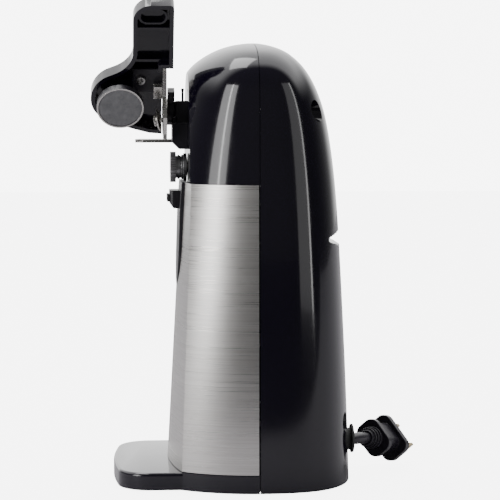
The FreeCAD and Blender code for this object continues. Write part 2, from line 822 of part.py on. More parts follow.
def second_gear():
    """Second reduction."""
    _, first, second, drive = gear_axes()
    return compound_gear(1, second, first, drive, (-20.4, -16.4), (-28.0, -20.3))


def drive_gear():
    """Final wheel on the can drive shaft."""
    _, _, second, drive = gear_axes()
    gap_at = direction(drive, second) + math.pi / wheel_teeth[2]
    wheel = spur(drive, wheel_teeth[2], modules[2], -27.6, -22.6, gap_at)
    hub = rod_y(6.0, 0, drive_z, -22.7, -14.0)
    return wheel.fuse(hub).cut(rod_y(3.0, 0, drive_z, -40, 0))


def drive_shaft():
    """Shaft from the gear to the can drive wheel."""
    return rod_y(3.0, 0, drive_z, -41.4, -7.2)


def drive_wheel():
    """Toothed ring, grooved hub and flange that turn the can by its rim."""
    teeth = 26
    outer = 7.85
    inner = 7.15
    outline = []
    for i in range(teeth):
        for share, r in ((-0.36, inner), (-0.12, outer), (0.12, outer), (0.36, inner)):
            a = 2 * math.pi * (i + share) / teeth
            outline.append(V(r * math.cos(a), -42.1, drive_z + r * math.sin(a)))
    ring = prism(outline, V(0, 2.9, 0))
    neck = rod_y(5.7, 0, drive_z, -39.3, -38.2)
    hub = rod_y(6.25, 0, drive_z, -38.3, -35.3)
    groove = ring_y(7.0, 5.7, 0, drive_z, -37.2, -36.4)
    flange = rod_y(7.0, 0, drive_z, -35.4, -33.75)
    wheel = ring.fuse(neck).fuse(hub.cut(groove)).fuse(flange)
    dimple = Part.makeCone(2.6, 1.6, 1.2, V(0, -42.2, drive_z), AXIS_Y)
    return wheel.cut(rod_y(3.0, 0, drive_z, -41.4, -30)).cut(dimple).removeSplitter()


def drive_bushing():
    """Sintered bush in the wall of the head."""
    barrel = ring_y(5.2, 3.0 + running_gap, 0, drive_z, head_face_y + 0.1, -30.7)
    collar = ring_y(6.6, 3.0 + running_gap, 0, drive_z, -30.9, -30.0)
    return barrel.fuse(collar).removeSplitter()


def gear_pillar_places():
    """(x, z) of the pillars between the gear plates."""
    return [(-20, 172), (20, 172), (-27.5, 124.5), (27.5, 124.5)]


def gear_plate(y0, y1, bores):
    """Flat steel plate of the gear frame."""
    outline = [
        V(-31, y0, 121.0), V(31, y0, 121.0), V(31, y0, 150.0),
        V(24, y0, 178.0), V(-24, y0, 178.0), V(-31, y0, 150.0),
    ]
    plate = prism(outline, V(0, y1 - y0, 0))
    for x, z, radius in bores:
        plate = plate.cut(rod_y(radius, x, z, y0 - 1, y1 + 1))
    for x, z in gear_pillar_places():
        plate = plate.cut(rod_y(1.5, x, z, y0 - 1, y1 + 1))
    return plate


def front_gear_plate():
    """Plate behind the head's front wall."""
    _, first, second, drive = gear_axes()
    bores = [(*first, 1.5), (*second, 1.5), (*drive, 7.4), (0.0, motor_z, 4.0)]
    return gear_plate(-30.5, -29.0, bores)


def rear_gear_plate():
    """Plate between the gears and the motor."""
    motor, first, second, drive = gear_axes()
    bores = [(*first, 1.5), (*second, 1.5), (*drive, 4.6), (*motor, 4.5)]
    return gear_plate(-9.8, -8.0, bores)


def gear_pillars():
    """Spacers and their screws between the gear plates."""
    pillars = []
    for x, z in gear_pillar_places():
        tube = rod_y(3.0, x, z, -29.0, -9.8)
        pin = rod_y(1.5, x, z, -30.5, -8.0)
        pillars.append(tube.fuse(pin).removeSplitter())
    return group(pillars)


def gear_axles():
    """Fixed pins of the two compound gears."""
    _, first, second, _ = gear_axes()
    return group([rod_y(1.5, x, z, -30.5, -8.0) for x, z in (first, second)])


def rear_drive_bushing():
    """Bush for the inner end of the drive shaft."""
    barrel = ring_y(4.6, 3.0 + running_gap, 0, drive_z, -11.6, -7.0)
    return barrel.fuse(ring_y(6.2, 3.0 + running_gap, 0, drive_z, -11.6, -9.8)).removeSplitter()


# ---- motor --------------------------------------------------------------------------------------
def motor_bolt_places():
    """(x, z) of the four through bolts."""
    return [(side * motor_bolt_x, z) for side in (-1, 1) for z in motor_bolt_z]


def motor_stack():
    """Laminated iron frame with the rotor bore above and the coil leg below."""
    stack = box(-26, 26, stack_y0, stack_y1, 76, 141)
    stack = stack.cut(box(-15, 15, stack_y0 - 1, stack_y1 + 1, 88, 103))
    stack = stack.cut(rod_y(13.0, 0, motor_z, stack_y0 - 1, stack_y1 + 1))
    for x in (-20, 20):
        slot = box(x - 6.2, x + 6.2, stack_y0 - 1, stack_y1 + 1, motor_z - 0.8, motor_z + 0.8)
        stack = stack.cut(slot)
    for x, z in motor_bolt_places():
        stack = stack.cut(rod_y(2.1, x, z, stack_y0 - 1, stack_y1 + 1))
    return stack.removeSplitter()


def coil_bobbin():
    """Moulded former on the lower leg of the stack."""
    tube = box(-14.8, 14.8, stack_y0 - 1.5, stack_y1 + 1.5, 74.5, 89.5)
    cheeks = [
        box(-14.8, -13.4, -11.0, 21.0, 68.0, 97.0),
        box(13.4, 14.8, -11.0, 21.0, 68.0, 97.0),
    ]
    bobbin = fuse_all([tube] + cheeks)
    return bobbin.cut(box(-27, 27, stack_y0 - 0.05, stack_y1 + 0.05, 75.95, 88.05)).removeSplitter()


def motor_coil():
    """Taped copper winding."""
    winding = box(-13.3, 13.3, -10.0, 20.0, 69.0, 96.0)
    long_edges = [e for e in winding.Edges if abs(e.tangentAt(e.FirstParameter).x) > 0.99]
    winding = winding.makeFillet(4.0, long_edges)
    return winding.cut(box(-27, 27, stack_y0 - 1.55, stack_y1 + 1.55, 74.45, 89.55))


def rotor():
    """Squirrel-cage rotor with end rings."""
    core = rod_y(12.6, 0, motor_z, stack_y0 + 1, stack_y1 - 1)
    rings = [
        ring_y(11.5, 7.0, 0, motor_z, stack_y0 - 1.0, stack_y0 + 1.0),
        ring_y(11.5, 7.0, 0, motor_z, stack_y1 - 1.0, stack_y1 + 1.0),
    ]
    return fuse_all([core] + rings).cut(rod_y(2.0, 0, motor_z, -20, 30))


def rotor_shaft():
    """Stepped shaft: pinion seat in front, fan and stone behind."""
    return fuse_all([
        rod_y(1.6, 0, motor_z, -15.4, -10.8),
        rod_y(2.0, 0, motor_z, -10.9, 32.0),
    ])


def motor_bushings():
    """Self-aligning bushes of the rotor shaft, front and rear."""
    front = ring_y(4.5, 2.0 + running_gap, 0, motor_z, -9.8, -5.4)
    rear = ring_y(4.5, 2.0 + running_gap, 0, motor_z, 15.4, 18.6)
    return group([front, rear])


def rear_motor_bracket():
    """Stamped strap behind the stack that holds the rear bush."""
    strap = box(-26, 26, 16.2, 18.0, 104, 139)
    legs = [rod_y(3.4, x, z, stack_y1, 16.3) for x, z in motor_bolt_places()]
    strap = fuse_all([strap] + legs)
    strap = strap.cut(rod_y(4.5, 0, motor_z, 10, 20))
    for x, z in motor_bolt_places():
        strap = strap.cut(rod_y(2.1, x, z, 10, 20))
    return strap.removeSplitter()


def motor_bolts():
    """Through bolts from the rear strap to the gear plate."""
    bolts = []
    for x, z in motor_bolt_places():
        shank = rod_y(2.0, x, z, -7.9, 18.1)
        bolts.append(shank.fuse(rod_y(3.4, x, z, 18.0, 20.2)).removeSplitter())
    return group(bolts)


def motor_spacers():
    """Tubes between the gear plate and the stack."""
    return group([ring_y(3.4, 2.1, x, z, -7.95, stack_y0) for x, z in motor_bolt_places()])


def motor_hanger():
    """Lower tail of the gear frame that reaches the lower motor bolts."""
    tail = box(-27, 27, -9.8, -8.0, 103.0, 120.9)
    return tail.cut(rod_y(5.2, 0, motor_z, -12, -6)).removeSplitter()


def cooling_fan():
    """Seven-bladed fan on the rotor shaft."""
    hub = rod_y(6.0, 0, motor_z, 19.6, 25.6)
    blades = []
    count = 7
    for i in range(count):
        blade = box(4.5, 19.0, -0.6, 0.6, -3.4, 3.4)
        blade.rotate(V(0, 0, 0), AXIS_X, 38)
        blade.translate(V(0, 22.6, 0))
        blade.rotate(V(0, 0, 0), AXIS_Y, 360.0 * i / count)
        blade.translate(V(0, 0, motor_z))
        blades.append(blade)
    return fuse_all([hub] + blades).cut(rod_y(2.0, 0, motor_z, 0, 60))


def grinding_stone():
    """Abrasive disc behind the knife groove."""
    stone = rod_y(13.0, 0, motor_z, 27.4, 31.9)
    rim = [e for e in stone.Edges if e.Length > 50]
    stone = stone.makeChamfer(0.8, rim)
    return stone.cut(rod_y(2.0, 0, motor_z, 0, 60))


def stone_collar():
    """Collar between fan and stone."""
    return ring_y(5.0, 2.0, 0, motor_z, 25.7, 27.3)


def start_switch():
    """Switch box under the lever mount, inside the head."""
    case = box(-2.0, 14.0, -28.6, -22.0, 180.5, 190.5)
    terminals = [box(x, x + 0.8, -27.0, -23.0, 190.4, 194.0) for x in (1.0, 6.0, 11.0)]
    return fuse_all([case] + terminals)


# ---- cord ---------------------------------------------------------------------------------------
def outlet_hole(radius, length):
    """Cylinder along the cord where it leaves the rear cover."""
    d = (cord_route[3] - cord_route[2]).normalize()
    return Part.makeCylinder(radius, length, outlet_point - d * (length / 2), d)


def cord_outlet():
    """Rubber grommet in the rear cover."""
    barrel = outlet_hole(5.5, 20.0).common(box(-80, 80, 44.4, 48.9, 0, 60))
    lip = outlet_hole(7.2, 20.0).common(box(-80, 80, 48.9, 50.2, 0, 60))
    return barrel.fuse(lip).cut(outlet_hole(cord_diameter / 2 + 0.5, 40)).removeSplitter()


def rounded_path(points):
    """Straight runs joined by tangent arcs; also returns the arc radii and the length."""
    edges = []
    radii = []
    length = 0.0
    previous = points[0]
    for a, b, c in zip(points, points[1:], points[2:]):
        into = b - a
        out = c - b
        turn = into.getAngle(out)
        shorter = min(into.Length, out.Length)
        radius = 0.45 * shorter / math.tan(turn / 2)
        radii.append(radius)
        cut = 0.45 * shorter
        first = b - V(into).normalize() * cut
        last = b + V(out).normalize() * cut
        inward = (V(out).normalize() - V(into).normalize()).normalize()
        middle = b + inward * (radius / math.cos(turn / 2) - radius)
        edges.append(Part.LineSegment(previous, first).toShape())
        edges.append(Part.Arc(first, middle, last).toShape())
        previous = last
    edges.append(Part.LineSegment(previous, points[-1]).toShape())
    for edge in edges:
        length += edge.Length
    return Part.Wire(edges), radii, length


def cord_tube():
    """Cord from the stored coil, through the outlet, to the plug."""
    path, radii, length = rounded_path(cord_route)
    start = cord_route[0]
    along = cord_route[1] - start
    circle = Part.Wire(Part.Circle(start, along, cord_diameter / 2).toShape())
    tube = path.makePipeShell([circle], True, True)
    expected = math.pi * cord_diameter ** 2 / 4 * length
    print("cord radii", [round(r, 1) for r in radii], "length", round(length, 1))
    print("cord volume", round(tube.Volume, 1), "expected", round(expected, 1))
    return tube


def cord_coil():
    """Outer shape of the three stored turns."""
    outer = max(coil_radii) + cord_diameter / 2
    inner = min(coil_radii) - cord_diameter / 2
    high = cord_floor_z + 0.5 * cord_diameter + 5.45 + cord_diameter / 2
    ring = rod_z(outer, coil_x, coil_y, cord_floor_z, high)
    ring = ring.cut(rod_z(inner, coil_x, coil_y, 0, 40))
    rims = [e for e in ring.Edges if e.Length > 100 and abs(e.CenterOfMass.z - high) < 0.1]
    return ring.makeChamfer(2.5, rims)


def cord_tie():
    """Tie round the stored turns."""
    outer = max(coil_radii) + cord_diameter / 2
    inner = min(coil_radii) - cord_diameter / 2
    x0 = coil_x - outer - 0.9
    x1 = coil_x - inner + 1.2
    band = box(x0, x1, coil_y - 2.5, coil_y + 2.5, cord_floor_z - 0.15, 16.3)
    return band.cut(box(x0 + 0.8, x1 - 0.8, coil_y - 4, coil_y + 4, cord_floor_z - 0.05, 15.6))


def cord_anchor():
    """Screwed bridge on the base plate where the cord enters the wiring space."""
    x, y = anchor_spot()
    block = box(x - 6.0, x + 6.0, y - 4.5, y + 4.5, 3.4, 13.0)
    return block.cut(Part.makeCylinder(3.05, 20, V(x - 10, y, 7.8), AXIS_X))


def anchor_spot():
    """Centre of the anchor, inside the coil."""
    return coil_x - 5.0, coil_y - 16.0


# ---- plug ---------------------------------------------------------------------------------------
def plug_frame(shape):
    """Turn a shape made along +Z at the origin onto the plug's axis."""
    turned = shape.copy()
    turned.rotate(V(0, 0, 0), AXIS_Z, plug_roll)
    d = V(plug_axis).normalize()
    rotation = FreeCAD.Rotation(AXIS_Z, d)
    turned.Placement = FreeCAD.Placement(plug_centre, rotation).multiply(turned.Placement)
    return turned


def rounded_slab(width, height, corner, z0, z1):
    """Rounded rectangle block along Z."""
    slab = Part.makeBox(width, height, z1 - z0, V(-width / 2, -height / 2, z0))
    upright = [e for e in slab.Edges if abs(e.tangentAt(e.FirstParameter).z) > 0.99]
    return slab.makeFillet(corner, upright)


def plug_body():
    """Moulded plug: face flange, grip, rear flange and ribbed relief."""
    face = rounded_slab(23.4, 15.4, 4.6, -2.2, 2.4)
    grip = rounded_slab(15.0, 11.0, 3.8, -16.0, -2.1)
    collar = rounded_slab(19.0, 14.0, 5.0, -19.6, -15.9)
    relief = Part.makeCone(3.9, 5.4, 9.0, V(0, 0, -28.5), AXIS_Z)
    ribs = []
    for i in range(3):
        ribs.append(Part.makeCylinder(5.9 - 0.4 * i, 1.3, V(0, 0, -22.0 - 2.4 * i), AXIS_Z))
    return plug_frame(fuse_all([face, grip, collar, relief] + ribs))


def plug_blades():
    """Two flat blades with a hole near each tip."""
    blades = []
    for side in (-1, 1):
        blade = Part.makeBox(1.5, 6.4, 16.5, V(side * 6.35 - 0.75, -3.2, 2.4))
        hole = Part.makeCylinder(1.6, 6, V(side * 6.35 - 3, 0, 14.6), AXIS_X)
        blades.append(plug_frame(blade.cut(hole)))
    return group(blades)


# ---- build --------------------------------------------------------------------------------------
fixed_parts = {
    "front_housing": front_housing,
    "rear_cover": rear_cover,
    "steel_wrap": steel_wrap,
    "front_tongue": front_tongue,
    "base_plate": base_plate,
    "rubber_feet": rubber_feet,
    "base_screws": base_screws,
    "housing_screws": housing_screws,
    "can_rest": can_rest,
    "can_rest_pad": can_rest_pad,
    "can_guide": can_guide,
    "guide_screw": guide_screw,
    "lever_mount": lever_mount,
    "lever_pivot_pin": lever_pivot_pin,
    "release_latch": release_latch,
    "switch_plunger": switch_plunger,
    "start_switch": start_switch,
    "motor_pinion": motor_pinion,
    "first_gear": first_gear,
    "second_gear": second_gear,
    "drive_gear": drive_gear,
    "drive_shaft": drive_shaft,
    "drive_wheel": drive_wheel,
    "drive_bushing": drive_bushing,
    "rear_drive_bushing": rear_drive_bushing,
    "front_gear_plate": front_gear_plate,
    "rear_gear_plate": rear_gear_plate,
    "gear_pillars": gear_pillars,
    "gear_axles": gear_axles,
    "motor_stack": motor_stack,
    "coil_bobbin": coil_bobbin,
    "motor_coil": motor_coil,
    "rotor": rotor,
    "rotor_shaft": rotor_shaft,
    "motor_bushings": motor_bushings,
    "rear_motor_bracket": rear_motor_bracket,
    "motor_bolts": motor_bolts,
    "motor_spacers": motor_spacers,
    "motor_hanger": motor_hanger,
    "cooling_fan": cooling_fan,
    "grinding_stone": grinding_stone,
    "stone_collar": stone_collar,
    "cord_outlet": cord_outlet,
    "cord_coil": cord_coil,
    "cord_tube": cord_tube,
    "cord_tie": cord_tie,
    "cord_anchor": cord_anchor,
    "plug_body": plug_body,
    "plug_blades": plug_blades,
}

lever_parts = {
    "lever_shell": lever_shell,
    "lever_hub": lever_hub,
    "cutter_plate": cutter_plate,
    "cutter_plate_screw": cutter_plate_screw,
    "cutter_wheel": cutter_wheel,
    "cutter_wheel_pin": cutter_wheel_pin,
    "rim_guide": rim_guide,
    "magnet_holder": magnet_holder,
    "magnet_pin": magnet_pin,
    "magnet_cup": magnet_cup,
    "magnet_disc": magnet_disc,
}

os.makedirs("parts", exist_ok=True)
for part_name, make in fixed_parts.items():
    save(part_name, make())
for part_name, make in lever_parts.items():
    save(part_name, raised(make()))
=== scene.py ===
import bpy
import bmesh
import json
import math
import numpy as np
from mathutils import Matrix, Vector

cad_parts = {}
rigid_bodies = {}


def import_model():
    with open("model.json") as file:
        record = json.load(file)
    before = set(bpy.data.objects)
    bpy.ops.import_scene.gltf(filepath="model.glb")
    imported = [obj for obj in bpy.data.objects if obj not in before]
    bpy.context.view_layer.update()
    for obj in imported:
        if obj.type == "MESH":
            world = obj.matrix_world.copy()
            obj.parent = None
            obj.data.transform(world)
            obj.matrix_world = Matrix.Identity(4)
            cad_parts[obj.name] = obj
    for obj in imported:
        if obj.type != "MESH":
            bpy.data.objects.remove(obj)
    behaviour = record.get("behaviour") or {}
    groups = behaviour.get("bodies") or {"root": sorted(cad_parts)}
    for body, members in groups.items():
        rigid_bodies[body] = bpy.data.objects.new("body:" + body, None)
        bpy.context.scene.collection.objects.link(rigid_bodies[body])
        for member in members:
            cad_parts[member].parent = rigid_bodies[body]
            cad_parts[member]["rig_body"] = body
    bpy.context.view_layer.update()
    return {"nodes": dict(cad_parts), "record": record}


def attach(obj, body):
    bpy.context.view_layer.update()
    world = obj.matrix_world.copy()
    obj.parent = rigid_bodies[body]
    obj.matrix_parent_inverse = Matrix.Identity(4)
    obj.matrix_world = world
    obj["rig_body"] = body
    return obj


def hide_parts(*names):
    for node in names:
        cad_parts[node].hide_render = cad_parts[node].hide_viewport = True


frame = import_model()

nodes = frame["nodes"]
slotOf = {row["node"]: row["material_slot"] for row in frame["record"]["subparts"]}
mm = 0.001
partingY = 16.6 * mm   # plane between the front housing and the rear cover


# camera and light
studio = {
    "cameraPlace": (0.998, partingY - 0.070, 0.195),
    "cameraAim": (0.0, partingY - 0.001, 0.1162),
    "lens": 140.0,
    "floorSize": 6.0,
    "floorColour": (0.38, 0.37, 0.39),   # as the object sees it
    "glow": 2.4,            # strength of the surroundings as the object sees them
    "around": [(-180, 0.9), (-155, 0.8), (-128, 0.05), (-75, 0.03), (-20, 0.07), (35, 0.05),
               (80, 0.02), (135, 0.03), (160, 0.6), (180, 0.9)],   # compass angle from +X, glow
    "behindFade": (-0.1, 0.25),      # direction's X from which the glow overhead fades, and where it ends
    "overheadGlow": (0.9, 0.05),     # glow overhead behind the object and on the camera's side
    "overheadStart": (0.25, 0.6),    # direction's Z from which the glow overhead takes over
    "background": 9.0,      # plain white seen by the camera
    "floorGlow": 6.0,       # added for the camera only
    "floorReach": 0.29,     # the pale floor ends here in +X; beyond it the room is dark
    "floorFade": 0.03,      # half the width of that edge
    "darkFloor": (0.01, 0.01, 0.012),
    "lights": {
        # compass angle from +X, distance, height, width, tall, watts
        "frontCore": (-54, 1.5, 0.40, 0.05, 1.1, 2.4),
        "frontBroad": (-56, 1.7, 0.40, 0.75, 1.3, 15.0),
        "rearCore": (63, 1.5, 0.30, 0.10, 1.6, 2.4),
        "rearBroad": (50, 1.5, 0.30, 0.55, 1.6, 2.6),
        "overhead": (-125, 0.6, 1.8, 1.0, 0.8, 14),
    },
    "lightAim": (0.0, 0.0, 0.12),
}


# a material with fixed values on its shader's sockets; an underscore stands for a space
def newMaterial(name, **sockets):
    material = bpy.data.materials.new(name)
    material.use_nodes = True
    shader = material.node_tree.nodes["Principled BSDF"]
    for socket, value in sockets.items():
        label = socket.replace("_", " ")
        shader.inputs[label].default_value = value
    return material, material.node_tree, shader


# noise laid in the piece's own space, drawn out by stretch
def noiseAt(tree, scale, detail=3.0, stretch=(1, 1, 1), rough=0.5):
    place = tree.nodes.new("ShaderNodeTexCoord")
    spread = tree.nodes.new("ShaderNodeMapping")
    spread.inputs["Scale"].default_value = stretch
    tree.links.new(place.outputs["Object"], spread.inputs["Vector"])
    noise = tree.nodes.new("ShaderNodeTexNoise")
    noise.inputs["Scale"].default_value = scale
    noise.inputs["Detail"].default_value = detail
    noise.inputs["Roughness"].default_value = rough
    tree.links.new(spread.outputs[0], noise.inputs["Vector"])
    return noise.outputs["Fac"]


# carries a value's middle range over to a new range
def rangeOf(tree, value, low, high, fromLow=0.3, fromHigh=0.7):
    ramp = tree.nodes.new("ShaderNodeMapRange")
    ramp.inputs["From Min"].default_value = fromLow
    ramp.inputs["From Max"].default_value = fromHigh
    ramp.inputs["To Min"].default_value = low
    ramp.inputs["To Max"].default_value = high
    tree.links.new(value, ramp.inputs["Value"])
    return ramp.outputs[0]


def blendColour(tree, value, first, second):
    mix = tree.nodes.new("ShaderNodeMix")
    mix.data_type = "RGBA"
    mix.inputs[6].default_value = (*first, 1)
    mix.inputs[7].default_value = (*second, 1)
    tree.links.new(value, mix.inputs[0])
    return mix.outputs[2]


def addBump(tree, shader, value, strength, distance):
    bump = tree.nodes.new("ShaderNodeBump")
    bump.inputs["Strength"].default_value = strength
    bump.inputs["Distance"].default_value = distance
    tree.links.new(value, bump.inputs["Height"])
    tree.links.new(bump.outputs[0], shader.inputs["Normal"])
    return bump


def lookAt(thing, target):
    direction = Vector(target) - thing.location
    thing.rotation_euler = direction.to_track_quat("-Z", "Y").to_euler()


def makeCamera():
    data = bpy.data.cameras.new("studioCamera")
    data.lens = studio["lens"]
    data.sensor_width = 36.0
    data.clip_start = 0.02
    camera = bpy.data.objects.new("studioCamera", data)
    camera.location = studio["cameraPlace"]
    lookAt(camera, studio["cameraAim"])
    bpy.context.scene.collection.objects.link(camera)
    bpy.context.scene.camera = camera


# a rectangular light standing at an angle from +X towards +Y, aimed at the middle of the tower
def softBox(name, azimuth, distance, height, width, tall, power):
    data = bpy.data.lights.new(name, "AREA")
    data.shape = "RECTANGLE"
    data.size = width
    data.size_y = tall
    data.energy = power
    light = bpy.data.objects.new(name, data)
    turn = math.radians(azimuth)
    light.location = (distance * math.cos(turn), distance * math.sin(turn), height)
    lookAt(light, studio["lightAim"])
    bpy.context.scene.collection.objects.link(light)


# a value carried from one range to another along a smooth step
def smoothRange(tree, value, fromRange, toRange):
    ramp = tree.nodes.new("ShaderNodeMapRange")
    ramp.interpolation_type = "SMOOTHSTEP"
    for socket, end in zip(("From Min", "From Max", "To Min", "To Max"), (*fromRange, *toRange)):
        ramp.inputs[socket].default_value = end
    tree.links.new(value, ramp.inputs["Value"])
    return ramp.outputs[0]


# surroundings by compass direction: bright behind, dark at both sides, dim on the camera's side
def makeWorld():
    world = bpy.data.worlds.new("studio")
    bpy.context.scene.world = world
    world.use_nodes = True
    tree = world.node_tree
    tree.nodes.clear()
    place = tree.nodes.new("ShaderNodeTexCoord")
    split = tree.nodes.new("ShaderNodeSeparateXYZ")
    tree.links.new(place.outputs["Generated"], split.inputs[0])
    compass = tree.nodes.new("ShaderNodeMath")
    compass.operation = "ARCTAN2"
    tree.links.new(split.outputs["Y"], compass.inputs[0])
    tree.links.new(split.outputs["X"], compass.inputs[1])
    share = tree.nodes.new("ShaderNodeMapRange")
    share.inputs["From Min"].default_value = -math.pi
    share.inputs["From Max"].default_value = math.pi
    tree.links.new(compass.outputs[0], share.inputs["Value"])
    around = tree.nodes.new("ShaderNodeValToRGB")
    around.color_ramp.interpolation = "B_SPLINE"
    stops = [((angle + 180) / 360, glow) for angle, glow in studio["around"]]
    for _ in range(len(stops) - 2):
        around.color_ramp.elements.new(0.5)
    for element, (position, glow) in zip(around.color_ramp.elements, stops):
        element.position = position
        element.color = (glow, glow, glow, 1)
    tree.links.new(share.outputs[0], around.inputs[0])
    above = smoothRange(tree, split.outputs["X"], studio["behindFade"], studio["overheadGlow"])
    height = smoothRange(tree, split.outputs["Z"], studio["overheadStart"], (0.0, 1.0))
    both = tree.nodes.new("ShaderNodeMix")
    both.data_type = "RGBA"
    tree.links.new(height, both.inputs[0])
    tree.links.new(around.outputs[0], both.inputs[6])
    tree.links.new(above, both.inputs[7])
    lit = tree.nodes.new("ShaderNodeBackground")
    lit.inputs["Strength"].default_value = studio["glow"]
    tree.links.new(both.outputs[2], lit.inputs["Color"])
    white = tree.nodes.new("ShaderNodeBackground")
    white.inputs["Strength"].default_value = studio["background"]
    seen = tree.nodes.new("ShaderNodeLightPath")
    mix = tree.nodes.new("ShaderNodeMixShader")
    tree.links.new(seen.outputs["Is Camera Ray"], mix.inputs[0])
    tree.links.new(lit.outputs[0], mix.inputs[1])
    tree.links.new(white.outputs[0], mix.inputs[2])
    out = tree.nodes.new("ShaderNodeOutputWorld")
    tree.links.new(mix.outputs[0], out.inputs[0])


# a wide sheet at Z = 0: pale under and behind the object, dark in front of it, white to the camera
def makeFloor():
    half = studio["floorSize"] / 2
    corners = [(-half, -half, 0), (half, -half, 0), (half, half, 0), (-half, half, 0)]
    mesh = bpy.data.meshes.new("floor")
    mesh.from_pydata(corners, [], [(0, 1, 2, 3)])
    floor = bpy.data.objects.new("floor", mesh)
    bpy.context.scene.collection.objects.link(floor)
    material = bpy.data.materials.new("floorPaper")
    material.use_nodes = True
    tree = material.node_tree
    shader = tree.nodes["Principled BSDF"]
    shader.inputs["Roughness"].default_value = 0.8
    where = tree.nodes.new("ShaderNodeTexCoord")
    split = tree.nodes.new("ShaderNodeSeparateXYZ")
    tree.links.new(where.outputs["Object"], split.inputs[0])
    reach, fade = studio["floorReach"], studio["floorFade"]
    edge = rangeOf(tree, split.outputs["X"], 0, 1, reach - fade, reach + fade)
    colour = blendColour(tree, edge, studio["floorColour"], studio["darkFloor"])
    tree.links.new(colour, shader.inputs["Base Color"])
    seen = tree.nodes.new("ShaderNodeLightPath")
    white = tree.nodes.new("ShaderNodeMath")
    white.operation = "MULTIPLY"
    white.inputs[1].default_value = studio["floorGlow"]
    tree.links.new(seen.outputs["Is Camera Ray"], white.inputs[0])
    shader.inputs["Emission Color"].default_value = (1, 1, 1, 1)
    tree.links.new(white.outputs[0], shader.inputs["Emission Strength"])
    mesh.materials.append(material)


makeCamera()
makeWorld()
makeFloor()
for lightName, values in studio["lights"].items():
    softBox(lightName, *values)
print("camera, lights and floor are in place")


# polished black housing plastic: faint violet tint, handling smears and a trace of mould ripple
def glossBlack():
    material, tree, shader = newMaterial("glossBlackPlastic", IOR=1.5, Coat_Weight=0.35, Coat_Roughness=0.04)
    cloud = noiseAt(tree, 9.0, 4.0)
    colour = blendColour(tree, cloud, (0.0035, 0.0025, 0.0075), (0.0065, 0.0048, 0.0125))
    tree.links.new(colour, shader.inputs["Base Color"])
    smear = noiseAt(tree, 34.0, 6.0, (1, 1, 0.45), 0.62)
    tree.links.new(rangeOf(tree, smear, 0.07, 0.17), shader.inputs["Roughness"])
    addBump(tree, shader, noiseAt(tree, 55.0, 2.0), 0.05, 0.0004)
    return material


# black moulded trim with a finer, duller skin
def satinBlack():
    material, tree, shader = newMaterial("satinBlackPlastic", IOR=1.48)
    cloud = noiseAt(tree, 60.0, 4.0)
    colour = blendColour(tree, cloud, (0.010, 0.009, 0.013), (0.024, 0.022, 0.028))
    tree.links.new(colour, shader.inputs["Base Color"])
    tree.links.new(rangeOf(tree, noiseAt(tree, 90.0, 5.0), 0.28, 0.44), shader.inputs["Roughness"])
    addBump(tree, shader, noiseAt(tree, 1400.0, 2.0), 0.12, 0.0001)
    return material


# sheet steel brushed level all round: long fine lines that run with the sheet
def brushedStainless():
    material, tree, shader = newMaterial("brushedStainless", Metallic=1.0, Anisotropic=0.65)
    lines = noiseAt(tree, 1.0, 5.0, (14, 14, 2600), 0.7)
    broad = noiseAt(tree, 1.0, 3.0, (4, 4, 1100), 0.6)
    both = tree.nodes.new("ShaderNodeMath")
    both.operation = "ADD"
    tree.links.new(lines, both.inputs[0])
    tree.links.new(broad, both.inputs[1])
    share = rangeOf(tree, both.outputs[0], 0, 1, 0.7, 1.3)
    colour = blendColour(tree, share, (0.60, 0.58, 0.56), (0.76, 0.745, 0.725))
    tree.links.new(colour, shader.inputs["Base Color"])
    tree.links.new(rangeOf(tree, lines, 0.24, 0.38), shader.inputs["Roughness"])
    addBump(tree, shader, both.outputs[0], 0.06, 0.00004)
    tangent = tree.nodes.new("ShaderNodeTangent")
    tangent.direction_type = "RADIAL"
    tangent.axis = "Z"
    tree.links.new(tangent.outputs[0], shader.inputs["Tangent"])
    return material


# bare metal: a cloud between two colours, finer wear in its roughness and a very fine grain
def metal(name, first, second, roughLow, roughHigh, scale=700.0, bump=0.03):
    material, tree, shader = newMaterial(name, Metallic=1.0)
    cloud = noiseAt(tree, scale, 4.0)
    tree.links.new(blendColour(tree, cloud, first, second), shader.inputs["Base Color"])
    wear = noiseAt(tree, scale * 2.3, 5.0)
    tree.links.new(rangeOf(tree, wear, roughLow, roughHigh), shader.inputs["Roughness"])
    addBump(tree, shader, noiseAt(tree, scale * 6, 3.0), bump, 0.0001)
    return material


# rubber, resin, tape and stone: the same build without the metal
def plain(name, first, second, roughLow, roughHigh, scale=80.0, bump=0.2, distance=0.0002):
    material, tree, shader = newMaterial(name)
    cloud = noiseAt(tree, scale, 5.0)
    tree.links.new(blendColour(tree, cloud, first, second), shader.inputs["Base Color"])
    wear = noiseAt(tree, scale * 1.7, 4.0)
    tree.links.new(rangeOf(tree, wear, roughLow, roughHigh), shader.inputs["Roughness"])
    addBump(tree, shader, noiseAt(tree, scale * 9, 3.0), bump, distance)
    return material


# grey ferrite with dust, fine grit and a few rub marks
def magnetFace():
    material, tree, shader = newMaterial("magnetFerrite", Metallic=0.25)
    dust = rangeOf(tree, noiseAt(tree, 260.0, 8.0, rough=0.75), 0, 1)
    colour = blendColour(tree, dust, (0.15, 0.15, 0.158), (0.27, 0.27, 0.28))
    tree.links.new(colour, shader.inputs["Base Color"])
    tree.links.new(rangeOf(tree, noiseAt(tree, 500.0, 4.0), 0.48, 0.66), shader.inputs["Roughness"])
    addBump(tree, shader, noiseAt(tree, 2400.0, 4.0), 0.25, 0.0001)
    return material


